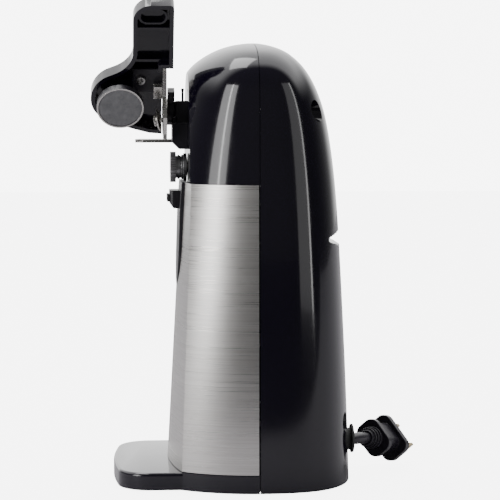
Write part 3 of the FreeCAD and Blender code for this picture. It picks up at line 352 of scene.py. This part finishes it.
# edge of a stack of thin iron plates: fine bands across its thickness
def laminatedIron():
    material, tree, shader = newMaterial("laminatedIron", Metallic=0.8)
    bands = noiseAt(tree, 1.0, 2.0, (20, 2200, 20))
    colour = blendColour(tree, bands, (0.06, 0.06, 0.065), (0.22, 0.21, 0.21))
    tree.links.new(colour, shader.inputs["Base Color"])
    tree.links.new(rangeOf(tree, bands, 0.4, 0.6), shader.inputs["Roughness"])
    addBump(tree, shader, bands, 0.4, 0.0002)
    return material


# one material for each slot of the frame
materialOf = {
    "black_shell": glossBlack(),
    "brushed_stainless": brushedStainless(),
    "black_trim": satinBlack(),
    "bright_steel": metal("brightSteel", (0.60, 0.585, 0.555), (0.70, 0.685, 0.66), 0.20, 0.32),
    "plain_steel": metal("turnedSteel", (0.34, 0.34, 0.35), (0.52, 0.52, 0.52), 0.26, 0.42, 200.0, 0.1),
    "black_rubber": plain("blackRubber", (0.012, 0.012, 0.012), (0.03, 0.03, 0.03), 0.55, 0.8),
    "magnet_face": magnetFace(),
    "gear_resin": plain("gearResin", (0.66, 0.62, 0.50), (0.80, 0.77, 0.66), 0.35, 0.5),
    "sintered_bronze": metal("sinteredBronze", (0.36, 0.22, 0.09), (0.55, 0.36, 0.16), 0.35, 0.55,
                             900.0, 0.3),
    "core_iron": laminatedIron(),
    "winding_tape": plain("windingTape", (0.60, 0.42, 0.06), (0.78, 0.60, 0.14), 0.3, 0.45, 40.0, 0.3),
    "stone_grit": plain("stoneGrit", (0.30, 0.33, 0.36), (0.62, 0.64, 0.66), 0.75, 0.95,
                        900.0, 0.8, 0.0004),
    "cord_vinyl": plain("cordVinyl", (0.011, 0.009, 0.016), (0.024, 0.021, 0.030), 0.22, 0.36,
                        120.0, 0.12),
    "blade_brass": metal("bladeBrass", (0.58, 0.46, 0.24), (0.74, 0.62, 0.36), 0.18, 0.34),
    "zinc_screw": metal("zincScrew", (0.44, 0.44, 0.43), (0.66, 0.65, 0.62), 0.2, 0.4, 240.0, 0.1),
}
print("materials are ready")


# mesh helpers
# a new object from an array of points in metres, its quads, and caps with any number of corners
def meshPiece(name, points, quads, slotName, caps=()):
    mesh = bpy.data.meshes.new(name)
    faces = np.asarray(quads).tolist() + [np.asarray(cap).tolist() for cap in caps]
    mesh.from_pydata(np.asarray(points, float).reshape(-1, 3).tolist(), [], faces)
    piece = bpy.data.objects.new(name, mesh)
    bpy.context.scene.collection.objects.link(piece)
    mesh.materials.append(materialOf[slotName])
    return piece


# quads of a grid of rows by columns; the last column joins the first when closedRound
def gridFaces(rows, columns, closedRound=False, start=0):
    last = columns if closedRound else columns - 1
    r, c = np.meshgrid(np.arange(rows - 1), np.arange(last), indexing="ij")
    n = (c + 1) % columns
    quads = np.stack([r * columns + c, r * columns + n, (r + 1) * columns + n, (r + 1) * columns + c], -1)
    return quads.reshape(-1, 4) + start


# joins doubled points, points the faces outwards and marks the sharp edges
def tidy(piece, angle=32.0, outward=True, merge=2e-6):
    work = bmesh.new()
    work.from_mesh(piece.data)
    bmesh.ops.remove_doubles(work, verts=work.verts, dist=merge)
    bmesh.ops.dissolve_degenerate(work, edges=work.edges, dist=1e-7)
    if outward:
        bmesh.ops.recalc_face_normals(work, faces=work.faces)
    work.to_mesh(piece.data)
    work.free()
    piece.data.polygons.foreach_set("use_smooth", np.ones(len(piece.data.polygons), bool))
    piece.data.set_sharp_from_angle(angle=math.radians(angle))
    return piece


# turns the piece's modifiers into its mesh
def bake(piece):
    bpy.context.view_layer.update()
    seen = piece.evaluated_get(bpy.context.evaluated_depsgraph_get())
    mesh = bpy.data.meshes.new_from_object(seen)
    piece.modifiers.clear()
    old = piece.data
    piece.data = mesh
    bpy.data.meshes.remove(old)


# cuts solid pieces away from a piece, then removes them
def carve(piece, cutters):
    for cutter in cutters:
        step = piece.modifiers.new("carve", "BOOLEAN")
        step.operation = "DIFFERENCE"
        step.solver = "EXACT"
        step.object = cutter
    bake(piece)
    for cutter in cutters:
        bpy.data.objects.remove(cutter)


# gives a sheet its wall, laid inwards from the surface
def addSolidify(piece, thickness):
    step = piece.modifiers.new("wall", "SOLIDIFY")
    step.thickness = thickness
    step.offset = -1.0
    step.use_even_offset = True


# rounds the edges that are sharper than the angle
def addBevel(piece, width, segments, angle):
    step = piece.modifiers.new("edge", "BEVEL")
    step.width = width
    step.segments = segments
    step.limit_method = "ANGLE"
    step.angle_limit = math.radians(angle)
    step.harden_normals = True


# closed cylinder along Y, used only to cut: a circle carried between two depths, with end caps
def cylinderY(name, x, z, radius, y0, y1):
    sides = 64
    turn = np.arange(sides) * 2 * np.pi / sides
    ring = np.stack([x + radius * np.cos(turn), np.zeros(sides), z + radius * np.sin(turn)], -1)
    points = np.concatenate([ring + (0, y0, 0), ring + (0, y1, 0)])
    caps = [range(sides), range(2 * sides - 1, sides - 1, -1)]
    return tidy(meshPiece(name, points, gridFaces(2, sides, True), "black_trim", caps))


# closed box between two corners, used only to cut
def boxPiece(name, low, high):
    x0, y0, z0 = low
    x1, y1, z1 = high
    points = [(x, y, z) for z in (z0, z1) for y in (y0, y1) for x in (x0, x1)]
    quads = [(0, 2, 3, 1), (4, 5, 7, 6), (0, 1, 5, 4), (2, 6, 7, 3), (0, 4, 6, 2), (1, 3, 7, 5)]
    return meshPiece(name, points, quads, "black_trim")


# the tower's surface
tower = {
    # height, half width, front depth, rear depth of the smooth skin's control sections, in mm
    "sections": [
        (-2.0, 60.3, 62.9, 49.4), (45.0, 59.3, 58.6, 48.0), (80.0, 58.6, 55.1, 46.2),
        (115.0, 57.9, 51.7, 44.4), (150.0, 57.0, 48.2, 42.1), (172.0, 56.5, 44.6, 39.2),
        (187.0, 56.2, 41.4, 36.4), (198.0, 55.4, 38.2, 32.5), (205.0, 53.4, 35.4, 28.9),
        (210.0, 50.0, 31.9, 25.4), (213.6, 46.0, 27.5, 21.9), (216.6, 40.8, 22.7, 18.3),
        (218.8, 34.0, 18.2, 14.6), (220.6, 24.0, 13.0, 9.9), (221.7, 14.0, 8.0, 5.8), (222.2, 5.0, 3.0, 2.2),
    ],
    "skinTop": 222.18,      # last full section, just under the crown
    "crown": 222.2,
    "squareness": 2.8,      # rear half of each section
    "drawnIn": 0.9957,      # how far the smooth round lies inside its control points
    "wall": 2.4,
    "gap": 0.15,            # half of the parting line
    "seam": 0.2,            # inner front pieces stop this far before the parting plane
    "sheet": 0.6,
    "wrapLow": 10.0,
    "wrapHigh": 152.4,
    "frontFoot": -2.5,              # height of the leaning front's lower arc
    "frontLow": (-44.45, 190.0),    # depth and radius of its lower arc
    "frontHigh": (-36.1, 258.0),    # depth and radius of its upper arc, at wrapHigh
    "linerWall": 1.6,
    "headFace": -33.4,
    "headEdge": 0.35,               # rounding of the head's sharp edges
    "headFadeFrom": 198.0,          # the head's room draws down from here to the crown
    "driveHole": (159.2, 5.25),     # height and radius
    "floorGap": 0.8,
}


# cubic B-spline with even knots, clamped to the first and last control value (Cox-de Boor)
def clampedSpline(control, count):
    control = np.asarray(control, float)
    n = len(control)
    knots = np.concatenate([[0] * 3, np.arange(n - 2), [n - 3] * 3]).astype(float)
    t = np.linspace(0, n - 3, count)
    basis = [((knots[i] <= t) & (t < knots[i + 1])).astype(float) for i in range(n + 3)]
    basis[n - 1] = np.where(t >= n - 3, 1.0, basis[n - 1])
    for degree in (1, 2, 3):
        new = []
        for i in range(n + 3 - degree):
            left = knots[i + degree] - knots[i]
            right = knots[i + degree + 1] - knots[i + 1]
            part = np.zeros_like(t)
            if left > 0:
                part = part + (t - knots[i]) / left * basis[i]
            if right > 0:
                part = part + (knots[i + degree + 1] - t) / right * basis[i + 1]
            new.append(part)
        basis = new
    return np.stack(basis[:n], -1) @ control


skin = clampedSpline(tower["sections"], 1600)   # height, half width, front, rear


# half width, front depth and rear depth at each height, moved in by inset
def skinAt(z, inset=0.0):
    return [np.interp(z, skin[:, 0], skin[:, k]) * tower["drawnIn"] - inset for k in (1, 2, 3)]


# depth of the shallow leaning front: two arcs, low and high, blended straight between them
def frontSheetY(x, z, inset=0.0):
    low, high = [depth + radius - np.sqrt(radius ** 2 - x ** 2)
                 for depth, radius in (tower["frontLow"], tower["frontHigh"])]
    share = (z - tower["frontFoot"]) / (tower["wrapHigh"] - tower["frontFoot"])
    return low * (1 - share) + high * share + inset


# where the side's ellipse meets the leaning front, found by halving
def creaseX(z, inset=0.0):
    halfWidth, front, _ = skinAt(z, inset)
    low = np.zeros_like(z)
    high = halfWidth * 0.999
    for _ in range(40):
        middle = (low + high) / 2
        ellipse = -front * np.sqrt(1 - (middle / halfWidth) ** 2)
        inside = ellipse < frontSheetY(middle, z, inset)
        low = np.where(inside, middle, low)
        high = np.where(inside, high, middle)
    return (low + high) / 2


# millimetres about the parting plane to metres in the row frame
def place(points):
    moved = np.asarray(points, float) * mm
    return moved + np.array([0.0, partingY, 0.0])


# unit superellipse from +X over the far side to -X: x and y are the cosine and sine, each to the power
# two over the squareness, then spaced evenly along the curve
def evenUnitCurve(power, count, squash):
    t = np.linspace(0, np.pi, 4001)
    x = np.sign(np.cos(t)) * np.abs(np.cos(t)) ** (2 / power)
    y = np.abs(np.sin(t)) ** (2 / power)
    steps = np.hypot(np.diff(x), np.diff(y) * squash)
    length = np.concatenate([[0], np.cumsum(steps)])
    even = np.linspace(0, length[-1], count)
    return np.interp(even, length, x), np.interp(even, length, y)


# heights spread along the skin, with any extra heights put in
def skinHeights(low, high, count, extra=()):
    body = skin[(skin[:, 0] > low) & (skin[:, 0] < high), 0]
    pick = np.interp(np.linspace(0, 1, count), np.linspace(0, 1, len(body)), body)
    return np.unique(np.concatenate([[low], pick, [high], np.asarray(extra, float)]))


rearShell = {
    "grooveHeight": 124.3,
    "grooveMouth": 8.4,
    "grooveTip": 35.4,
    "grooveTipRadius": 1.3,
    "mouthDepth": 44.6,
    "wells": [(40.5, 188.0, 5.5, 17.0), (31.5, 31.0, 5.3, 36.0)],   # x, z, radius, seat
    "screwHole": 2.2,
    "wellWall": 1.6,
    "wellFloor": 4.0,
    "windowOffset": 8.5,
    "windowHalf": (6.0, 1.2),       # half width and half height
    "windowDepths": (30.0, 40.0),
    "edge": 0.22,           # rounding of the sharp edges
    "columns": 170,
}


# v-shaped groove with a rounded tip, as a depth for each height above or below its middle: a circle's arc
# at the tip, then straight sides that leave the circle at right angles to its radius
def grooveDepthAt(distance):
    r = rearShell["grooveTipRadius"]
    centre = rearShell["grooveTip"] + r
    half = rearShell["grooveMouth"] / 2
    spread = math.atan2(half - r, rearShell["mouthDepth"] - centre)
    d = np.abs(distance)
    tip = centre - np.sqrt(np.maximum(r * r - d * d, 0))
    slope = centre - r * math.sin(spread) + (d - r * math.cos(spread)) / math.tan(spread)
    return np.where(d < r * math.cos(spread), tip, slope)


# depth of the rear skin at a point seen from the back: the superellipse solved for its depth
def rearY(x, z):
    halfWidth, _, rear = skinAt(z)
    power = tower["squareness"]
    return rear * np.maximum(1 - np.abs(x / halfWidth) ** power, 0) ** (1 / power)


# rear half of the tower: the unit superellipse scaled by the skin's half width and rear depth at each
# height, pushed in to the groove's depth where it passes, then given a wall, wells and knife windows
def makeRearShell():
    spec = rearShell
    half = spec["grooveMouth"] / 2
    middle = spec["grooveHeight"]
    lip = np.array([-1.0, -0.5, 0, 0.5, 1.0, 1.6, 2.2, 2.8, 3.4, 3.9, 4.15, 4.35, 4.6, 5.0, 6.0])
    z = skinHeights(tower["floorGap"], tower["skinTop"], 150, np.concatenate([middle + lip, middle - lip]))
    halfWidth, _, rear = skinAt(z)
    ux, uy = evenUnitCurve(tower["squareness"], spec["columns"], 0.8)
    gap = tower["gap"]
    x = halfWidth[:, None] * ux
    y = gap + (rear[:, None] - gap) * uy
    heights = np.repeat(z[:, None], len(ux), 1)
    distance = heights - middle
    inGroove = np.abs(distance) < half + 1.0
    y = np.where(inGroove, np.minimum(y, np.maximum(grooveDepthAt(distance), gap)), y)
    points = np.stack([x, y, heights], -1)
    top = np.repeat(np.array([[0.0, gap, tower["crown"]]]), len(ux), 0)
    points = np.concatenate([points, top[None]])
    shell = meshPiece("rearShell", place(points), gridFaces(len(points), len(ux)), "black_shell")
    tidy(shell, merge=8e-6)
    addSolidify(shell, tower["wall"] * mm)
    bake(shell)
    cutters = []
    pastSkin = partingY + 0.07
    for wellX, wellZ, radius, seat in spec["wells"]:
        for side in (-1, 1):
            y0 = partingY + (seat + 1) * mm
            cutters.append(cylinderY("wellCut", side * wellX * mm, wellZ * mm, radius * mm, y0, pastSkin))
    for side in (-1, 1):
        windowX = side * spec["windowOffset"]
        halfWide, halfHigh = spec["windowHalf"]
        near, far = spec["windowDepths"]
        low = place((windowX - halfWide, near, middle - halfHigh))
        high = place((windowX + halfWide, far, middle + halfHigh))
        cutters.append(boxPiece("windowCut", low, high))
    carve(shell, cutters)
    tidy(shell, outward=False)
    addBevel(shell, spec["edge"] * mm, 2, 40)
    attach(shell, "housing")
    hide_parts("rear_cover")


# walls and floors of the four screw wells: a circle carried down to the seat, in to the screw's hole,
# down through the floor and back out to a wider circle, whose rims follow the skin just below it
def makeScrewWells():
    spec = rearShell
    hole, thick = spec["screwHole"], spec["wellWall"]
    parts = []
    faces = []
    count = 0
    sides = 72
    turn = np.arange(sides) * 2 * np.pi / sides
    for x, z, radius, seat in spec["wells"]:
        under = seat - spec["wellFloor"]
        outer = radius + thick
        # radius, then a depth, or how far below the skin the rim lies
        profile = [(radius, None, 0.5), (radius, seat, 0), (hole, seat, 0), (hole, under, 0),
                   (outer, under, 0), (outer, None, 1.4)]
        for side in (-1, 1):
            rings = []
            for r, depth, below in profile:
                px = side * x + r * np.cos(turn)
                pz = z + r * np.sin(turn)
                py = rearY(px, pz) - below if depth is None else np.full(sides, depth)
                rings.append(np.stack([px, py, pz], -1))
            grid = np.stack(rings)
            parts.append(grid.reshape(-1, 3))
            around = gridFaces(len(rings), sides, True, count)
            first = count + np.arange(sides)
            last = count + (len(rings) - 1) * sides + np.arange(sides)
            join = np.stack([last, np.roll(last, -1), np.roll(first, -1), first], -1)
            faces += [around, join]
            count += len(rings) * sides
    wells = meshPiece("screwWells", place(np.concatenate(parts)), np.concatenate(faces), "black_shell")
    tidy(wells)
    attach(wells, "housing")
    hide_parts("rear_cover")


# front half of the tower as a closed block: half ellipses stacked from a height to the top, closed
# behind; an inset block also sinks in proportion to its height above headFadeFrom
def towerBlock(name, low, inset):
    columns = 96
    fadeFrom = tower["headFadeFrom"]
    z = skinHeights(low, tower["skinTop"], 110)
    halfWidth, front, _ = skinAt(z, inset)
    halfWidth = np.maximum(halfWidth, 0.05)
    front = np.maximum(front, 0.05)
    turn = np.linspace(0, np.pi, columns)
    gap = tower["gap"] if inset == 0 else -0.5
    x = halfWidth[:, None] * np.cos(turn)
    y = -gap - (front[:, None] - gap) * np.sin(turn)
    sunk = z - inset * np.maximum(z - fadeFrom, 0) / (tower["crown"] - fadeFrom)
    heights = np.repeat(sunk[:, None], columns, 1)
    points = np.stack([x, y, heights], -1)
    topZ = heights[-1, 0]
    top = np.repeat(np.array([[0.0, -gap, topZ + 0.02]]), columns, 0)
    bottom = np.repeat(np.array([[0.0, -gap, heights[0, 0]]]), columns, 0)
    points = np.concatenate([bottom[None], points, top[None]])
    left = np.arange(len(points)) * columns
    back = np.concatenate([left, (left + columns - 1)[::-1]])
    piece = meshPiece(name, place(points), gridFaces(len(points), columns), "black_shell", [back])
    return tidy(piece, merge=8e-6)


# black head over the front: outer block less the flat front, less the room inside; the cutting boxes
# reach past the tower on every side but the one that cuts
def makeHeadShell():
    face = tower["headFace"]
    low = tower["wrapHigh"] - 0.05
    outer = towerBlock("headShell", low, 0.0)
    wall = tower["wall"]
    carve(outer, [boxPiece("faceCut", place((-80, -90, 140)), place((80, face, 230)))])
    inner = towerBlock("headRoom", low - 3, wall)
    carve(inner, [boxPiece("roomCut", place((-80, -90, 120)), place((80, face + wall, 230)))])
    carve(outer, [inner])
    height, radius = tower["driveHole"]
    drive = cylinderY("driveCut", 0, height * mm, radius * mm, partingY - 0.05, partingY - 0.02)
    carve(outer, [drive])
    tidy(outer, 30, outward=False)
    addBevel(outer, tower["headEdge"] * mm, 3, 28)
    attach(outer, "housing")
    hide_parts("front_housing")


wrap = {
    "sideColumns": 34,
    "frontColumns": 26,
    "thickness": 0.52,
    "edge": 0.16,           # rounding of the sheet's edges
    "seam": 0.55,           # the sheet stops this far before the parting plane
    "notchHalf": 21.3,
    "notchRound": 120.0,    # the notch is straight above this height and a half circle below it
}


# one half of the wrap: along the ellipse from the parting plane to the crease, by even angles, then in
# to the notch along the leaning front, by even steps of width
def wrapGrid(z, inset, startY, notch, sideColumns, frontColumns):
    halfWidth, front, _ = skinAt(z, inset)
    corner = creaseX(z, inset)
    startAngle = np.arcsin(np.minimum(-startY / front, 1))
    endAngle = np.arccos(corner / halfWidth)
    share = np.linspace(0, 1, sideColumns)
    angle = startAngle[:, None] + (endAngle - startAngle)[:, None] * share
    sideX = halfWidth[:, None] * np.cos(angle)
    sideY = -front[:, None] * np.sin(angle)
    share = np.linspace(0, 1, frontColumns)[1:]
    frontX = corner[:, None] + (notch - corner)[:, None] * share
    frontY = frontSheetY(frontX, z[:, None], inset)
    x = np.concatenate([sideX, frontX], 1)
    y = np.concatenate([sideY, frontY], 1)
    return np.stack([x, y, np.repeat(z[:, None], x.shape[1], 1)], -1)


# a grid and its mirror image across the middle as one piece
def mirroredPiece(name, grid, slotName, caps=()):
    rows, columns = grid.shape[:2]
    both = np.stack([grid, grid * np.array([-1.0, 1.0, 1.0])])
    quads = np.concatenate([gridFaces(rows, columns), gridFaces(rows, columns, start=rows * columns)])
    return meshPiece(name, place(both), quads, slotName, caps)


# brushed sheet from low to high; its inner edge is a half circle at the notch's foot, then straight
def makeSteelWrap():
    spec = wrap
    low = spec["notchRound"] - spec["notchHalf"]
    curve = low + spec["notchHalf"] * (1 - np.cos(np.linspace(0, np.pi / 2, 22)))
    z = np.unique(np.concatenate([
        np.linspace(tower["wrapLow"], low, 60), curve,
        np.linspace(spec["notchRound"], tower["wrapHigh"] - 0.25, 16)]))
    below = np.clip(spec["notchRound"] - z, 0, spec["notchHalf"])
    notch = np.sqrt(spec["notchHalf"] ** 2 - below ** 2)
    grid = wrapGrid(z, 0.0, -spec["seam"], notch, spec["sideColumns"], spec["frontColumns"])
    piece = mirroredPiece("steelWrap", grid, "brushed_stainless")
    tidy(piece, merge=1e-5, angle=12)
    addSolidify(piece, spec["thickness"] * mm)
    addBevel(piece, spec["edge"] * mm, 2, 24)
    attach(piece, "housing")
    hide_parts("steel_wrap")


# moulded front behind the sheet: the wrap's shape drawn in by the sheet's thickness, its last row
# repeated further back as the ledge that shows above the sheet
def makeFrontLiner():
    z = np.linspace(tower["wrapLow"] - 0.6, tower["wrapHigh"], 40)
    inset = tower["sheet"] + 0.06
    grid = wrapGrid(z, inset, -tower["seam"], np.zeros_like(z), 30, 24)
    ledge = grid[-1:] * np.array([0.9, 1.0, 1.0])
    ledge[..., 1] = np.maximum(ledge[..., 1], tower["headFace"] + 1.0)
    piece = mirroredPiece("frontLiner", np.concatenate([grid, ledge]), "black_shell")
    tidy(piece, merge=1e-5, angle=20)
    addSolidify(piece, tower["linerWall"] * mm)
    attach(piece, "housing")
    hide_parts("front_housing")


base = {
    "halfWidth": 47.5,
    "top": 9.4,
    "frontY": -71.7,
    "frontBow": (18.0, 0.72),       # the front edge has fallen back this far at this width
    "sideEndY": -54.0,
    "sideBackY": -24.0,
    "cornerX": 31.0,
    "cornerY": -69.6,
    "bulge": (42.6, -64.4),
    "round": 1.6,           # rolled top edge
    "bandWall": 1.8,
}


# points along the circle through three points: even angles about the centre at equal distance from all
def arcThrough(a, b, c, count):
    a, b, c = (np.asarray(p, float) for p in (a, b, c))
    d = 2 * (a[0] * (b[1] - c[1]) + b[0] * (c[1] - a[1]) + c[0] * (a[1] - b[1]))
    ux = (a @ a * (b[1] - c[1]) + b @ b * (c[1] - a[1]) + c @ c * (a[1] - b[1])) / d
    uy = (a @ a * (c[0] - b[0]) + b @ b * (a[0] - c[0]) + c @ c * (b[0] - a[0])) / d
    centre = np.array([ux, uy])
    angles = [math.atan2(*(p - centre)[::-1]) for p in (a, b, c)]
    first, middle, last = np.unwrap(angles)
    turn = np.linspace(first, last, count)
    radius = np.hypot(*(a - centre))
    return centre + radius * np.stack([np.cos(turn), np.sin(turn)], -1)


# half outline of the platform in plan, from the front middle round to the tower
def platformOutline():
    spec = base
    bowX, bowBack = spec["frontBow"]
    cornerPoint = (spec["cornerX"], spec["cornerY"])
    front = arcThrough((0, spec["frontY"]), (bowX, spec["frontY"] + bowBack), cornerPoint, 26)
    corner = arcThrough(cornerPoint, spec["bulge"], (spec["halfWidth"], spec["sideEndY"]), 30)
    sideY = np.linspace(spec["sideEndY"], spec["sideBackY"], 12)
    side = np.stack([np.full(12, spec["halfWidth"]), sideY], -1)
    return np.concatenate([front, corner[1:], side[1:]])


# closed slab: the outline carried up a profile whose top edge is a quarter round
def rolledSlab(outline, low, high, roundOff):
    step = np.gradient(outline, axis=0)
    step /= np.linalg.norm(step, axis=1)[:, None]
    inward = np.stack([-step[:, 1], step[:, 0]], -1)
    profile = [(0.25, low), (0.0, low + 0.3)]
    for turn in np.linspace(0, np.pi / 2, 8):
        profile.append((roundOff * (1 - np.cos(turn)), high - roundOff + roundOff * np.sin(turn)))
    rings = [np.concatenate([outline + inward * d, np.full((len(outline), 1), z)], 1) for d, z in profile]
    return np.stack(rings)


# platform under the can: the half outline and its mirror image as one rolled slab
def makePlatform():
    spec = base
    half = platformOutline()
    whole = np.concatenate([half[::-1] * (-1, 1), half[1:]])
    rings = rolledSlab(whole, tower["floorGap"], spec["top"], spec["round"])
    rows, columns = rings.shape[:2]
    caps = [range(columns - 1, -1, -1), range((rows - 1) * columns, rows * columns)]
    piece = meshPiece("canPlatform", place(rings), gridFaces(rows, columns, True), "black_shell", caps)
    tidy(piece)
    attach(piece, "housing")
    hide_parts("front_housing")


# foot of the tower below the sheet, round the front from side to side: the wrap's shape carried up the
# outside, down again inside the wall and back to its start
def makeBaseBand():
    top = tower["wrapLow"] - 0.35
    z = np.array([tower["floorGap"], tower["floorGap"] + 0.3, 4.0, 7.0, top - 0.25, top])
    seam = tower["seam"]
    grid = wrapGrid(z, 0.0, -seam, np.zeros_like(z), 40, 26)
    inner = wrapGrid(z[::-1], base["bandWall"], -seam, np.zeros_like(z), 40, 26)
    inner[..., 1] = np.minimum(inner[..., 1], -seam)
    loop = np.concatenate([grid, inner, grid[:1]])
    rows, columns = loop.shape[:2]
    ends = [start + np.arange(rows - 1) * columns for start in (0, rows * columns)]
    piece = mirroredPiece("baseBand", loop, "black_shell", ends)
    tidy(piece, merge=1e-5, angle=25)
    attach(piece, "housing")
    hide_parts("front_housing")


makeRearShell()
makeScrewWells()
makeHeadShell()
makeSteelWrap()
makeFrontLiner()
makePlatform()
makeBaseBand()
print("housing surfaces are made")


# cord
cordSpec = {
    "diameter": 0.006,              # metres
    "length": 0.68,                 # metres, anchor to plug
    "coilCentre": (-2.0, 0.0),      # from here on in mm
    "radii": (28.3, 34.6, 31.45),   # inner, outer and upper turn
    "floor": 6.75,
    "upper": 12.2,
    "startAngle": -0.28,            # radians
    "turnPoints": 14,
    "blend": 0.3,                   # share of a turn over which one turn passes to the next
}

# from the anchor to the first turn, then after the coil out through the grommet to the plug, in mm
leadIn = [(-0.5, -16.0, 7.8), (7.5, -15.2, 7.2), (17.0, -12.5, 6.8)]
leadOut = [(29.4, 12.0, 13.2), (29.4, 21.8, 15.6), (29.5, 32.7, 18.7), (25.7, 43.5, 20.7), (18.6, 52.4, 20.8),
           (8.9, 58.4, 19.1)]


# three turns of a circle by even angles: inner and outer on the floor, the last on top between them;
# radius and height pass straight from one turn to the next over the blend
def coilPoints():
    spec = cordSpec
    inner, outer, upper = spec["radii"]
    count = spec["turnPoints"]
    turns = 3 * count
    step = np.arange(turns)
    share = step / count
    angle = 2 * np.pi * share + spec["startAngle"]
    toOuter = np.clip((share - (1 - spec["blend"] / 2)) / spec["blend"], 0, 1)
    toUpper = np.clip((share - (2 - spec["blend"] / 2)) / spec["blend"], 0, 1)
    radius = inner + (outer - inner) * toOuter + (upper - outer) * toUpper
    z = spec["floor"] + (spec["upper"] - spec["floor"]) * toUpper
    cx, cy = spec["coilCentre"]
    return np.stack([cx + radius * np.cos(angle), cy + radius * np.sin(angle), z], -1)


# a round cord carried along the chosen points
def makeCord():
    route = np.concatenate([np.array(leadIn), coilPoints(), np.array(leadOut)])
    points = place(route)
    data = bpy.data.curves.new("mainsCord", "CURVE")
    data.dimensions = "3D"
    data.bevel_depth = cordSpec["diameter"] / 2
    data.bevel_resolution = 4
    data.resolution_u = 6
    data.use_fill_caps = True
    spline = data.splines.new("NURBS")
    spline.points.add(len(points) - 1)
    spline.points.foreach_set("co", np.concatenate([points, np.ones((len(points), 1))], 1).ravel())
    spline.order_u = 3
    spline.use_endpoint_u = True
    cord = bpy.data.objects.new("mainsCord", data)
    bpy.context.scene.collection.objects.link(cord)
    data.materials.append(materialOf["cord_vinyl"])
    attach(cord, "housing")
    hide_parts("cord_tube", "cord_coil")
    line = np.linalg.norm(np.diff(points, axis=0), axis=1).sum()
    print("cord route length", round(float(line), 4))
    return cord, points


cord, cordPoints = makeCord()


# finished copies of the CAD pieces
finish = {
    # node: edge width in mm, sharp angle
    "lever_shell": (0.45, 30), "lever_hub": (0.3, 30), "cutter_plate": (0.2, 30),
    "cutter_plate_screw": (0.12, 30), "cutter_wheel": (0.05, 15), "cutter_wheel_pin": (0.15, 30),
    "rim_guide": (0.2, 30), "magnet_cup": (0.25, 30), "magnet_disc": (0.15, 30),
    "magnet_holder": (0.2, 30), "magnet_pin": (0.1, 30), "drive_wheel": (0.1, 30),
    "can_rest": (0.35, 30), "can_rest_pad": (0.25, 30), "can_guide": (0.2, 30), "guide_screw": (0.25, 30),
    "lever_mount": (0.3, 30), "release_latch": (0.15, 30), "front_tongue": (0.35, 30),
    "plug_body": (0.7, 35), "plug_blades": (0.15, 30), "housing_screws": (0.2, 30),
    "rubber_feet": (0.4, 30), "cord_outlet": (0.3, 30), "base_plate": (0.3, 30),
}


# copy of a CAD piece with joined points, flat faces made whole, and softened edges
def finishedCopy(name, width, angle):
    source = nodes[name]
    body = source["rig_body"]
    piece = bpy.data.objects.new(name + "Finished", source.data.copy())
    bpy.context.scene.collection.objects.link(piece)
    work = bmesh.new()
    work.from_mesh(piece.data)
    bmesh.ops.remove_doubles(work, verts=work.verts, dist=2e-6)
    bmesh.ops.dissolve_limit(work, angle_limit=math.radians(0.6), verts=work.verts, edges=work.edges)
    work.to_mesh(piece.data)
    work.free()
    if piece.data.has_custom_normals:
        piece.data.normals_split_custom_set_from_vertices(np.zeros((len(piece.data.vertices), 3)).tolist())
    piece.data.polygons.foreach_set("use_smooth", np.ones(len(piece.data.polygons), bool))
    piece.data.set_sharp_from_angle(angle=math.radians(angle))
    piece.data.materials.clear()
    piece.data.materials.append(materialOf[slotOf[name]])
    addBevel(piece, width * mm, 2, angle)
    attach(piece, body)
    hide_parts(name)
    return piece


# gives the chosen faces, picked by centre and direction, a second material
def paintFaces(piece, slotName, chosen):
    count = len(piece.data.polygons)
    centre = np.empty(count * 3)
    facing = np.empty(count * 3)
    piece.data.polygons.foreach_get("center", centre)
    piece.data.polygons.foreach_get("normal", facing)
    piece.data.materials.append(materialOf[slotName])
    pick = chosen(centre.reshape(-1, 3), facing.reshape(-1, 3))
    piece.data.polygons.foreach_set("material_index", pick.astype(np.int32))


leverDown = np.array([0.8387, 0.0, -0.5446])     # out of the raised lever's hollow side
plateFoot = partingY - 0.0484                    # faces of the cutter plate in front of this depth get the black trim
finished = {name: finishedCopy(name, *values) for name, values in finish.items()}
paintFaces(finished["cutter_plate"], "black_trim", lambda centre, facing: centre[:, 1] < plateFoot)
# painted shade: the bright steel cup's walls that do not face out of the lever's hollow side get the black
# trim, so only its rim face shows as steel
paintFaces(finished["magnet_cup"], "black_trim", lambda centre, facing: facing @ leverDown < 0.6)
print("finished copies are made")

for name, node in nodes.items():
    node.data.materials.clear()
    node.data.materials.append(materialOf[slotOf[name]])
    node.data.polygons.foreach_set("use_smooth", np.ones(len(node.data.polygons), bool))
    node.data.set_sharp_from_angle(angle=math.radians(35))
print("inner pieces have their materials")
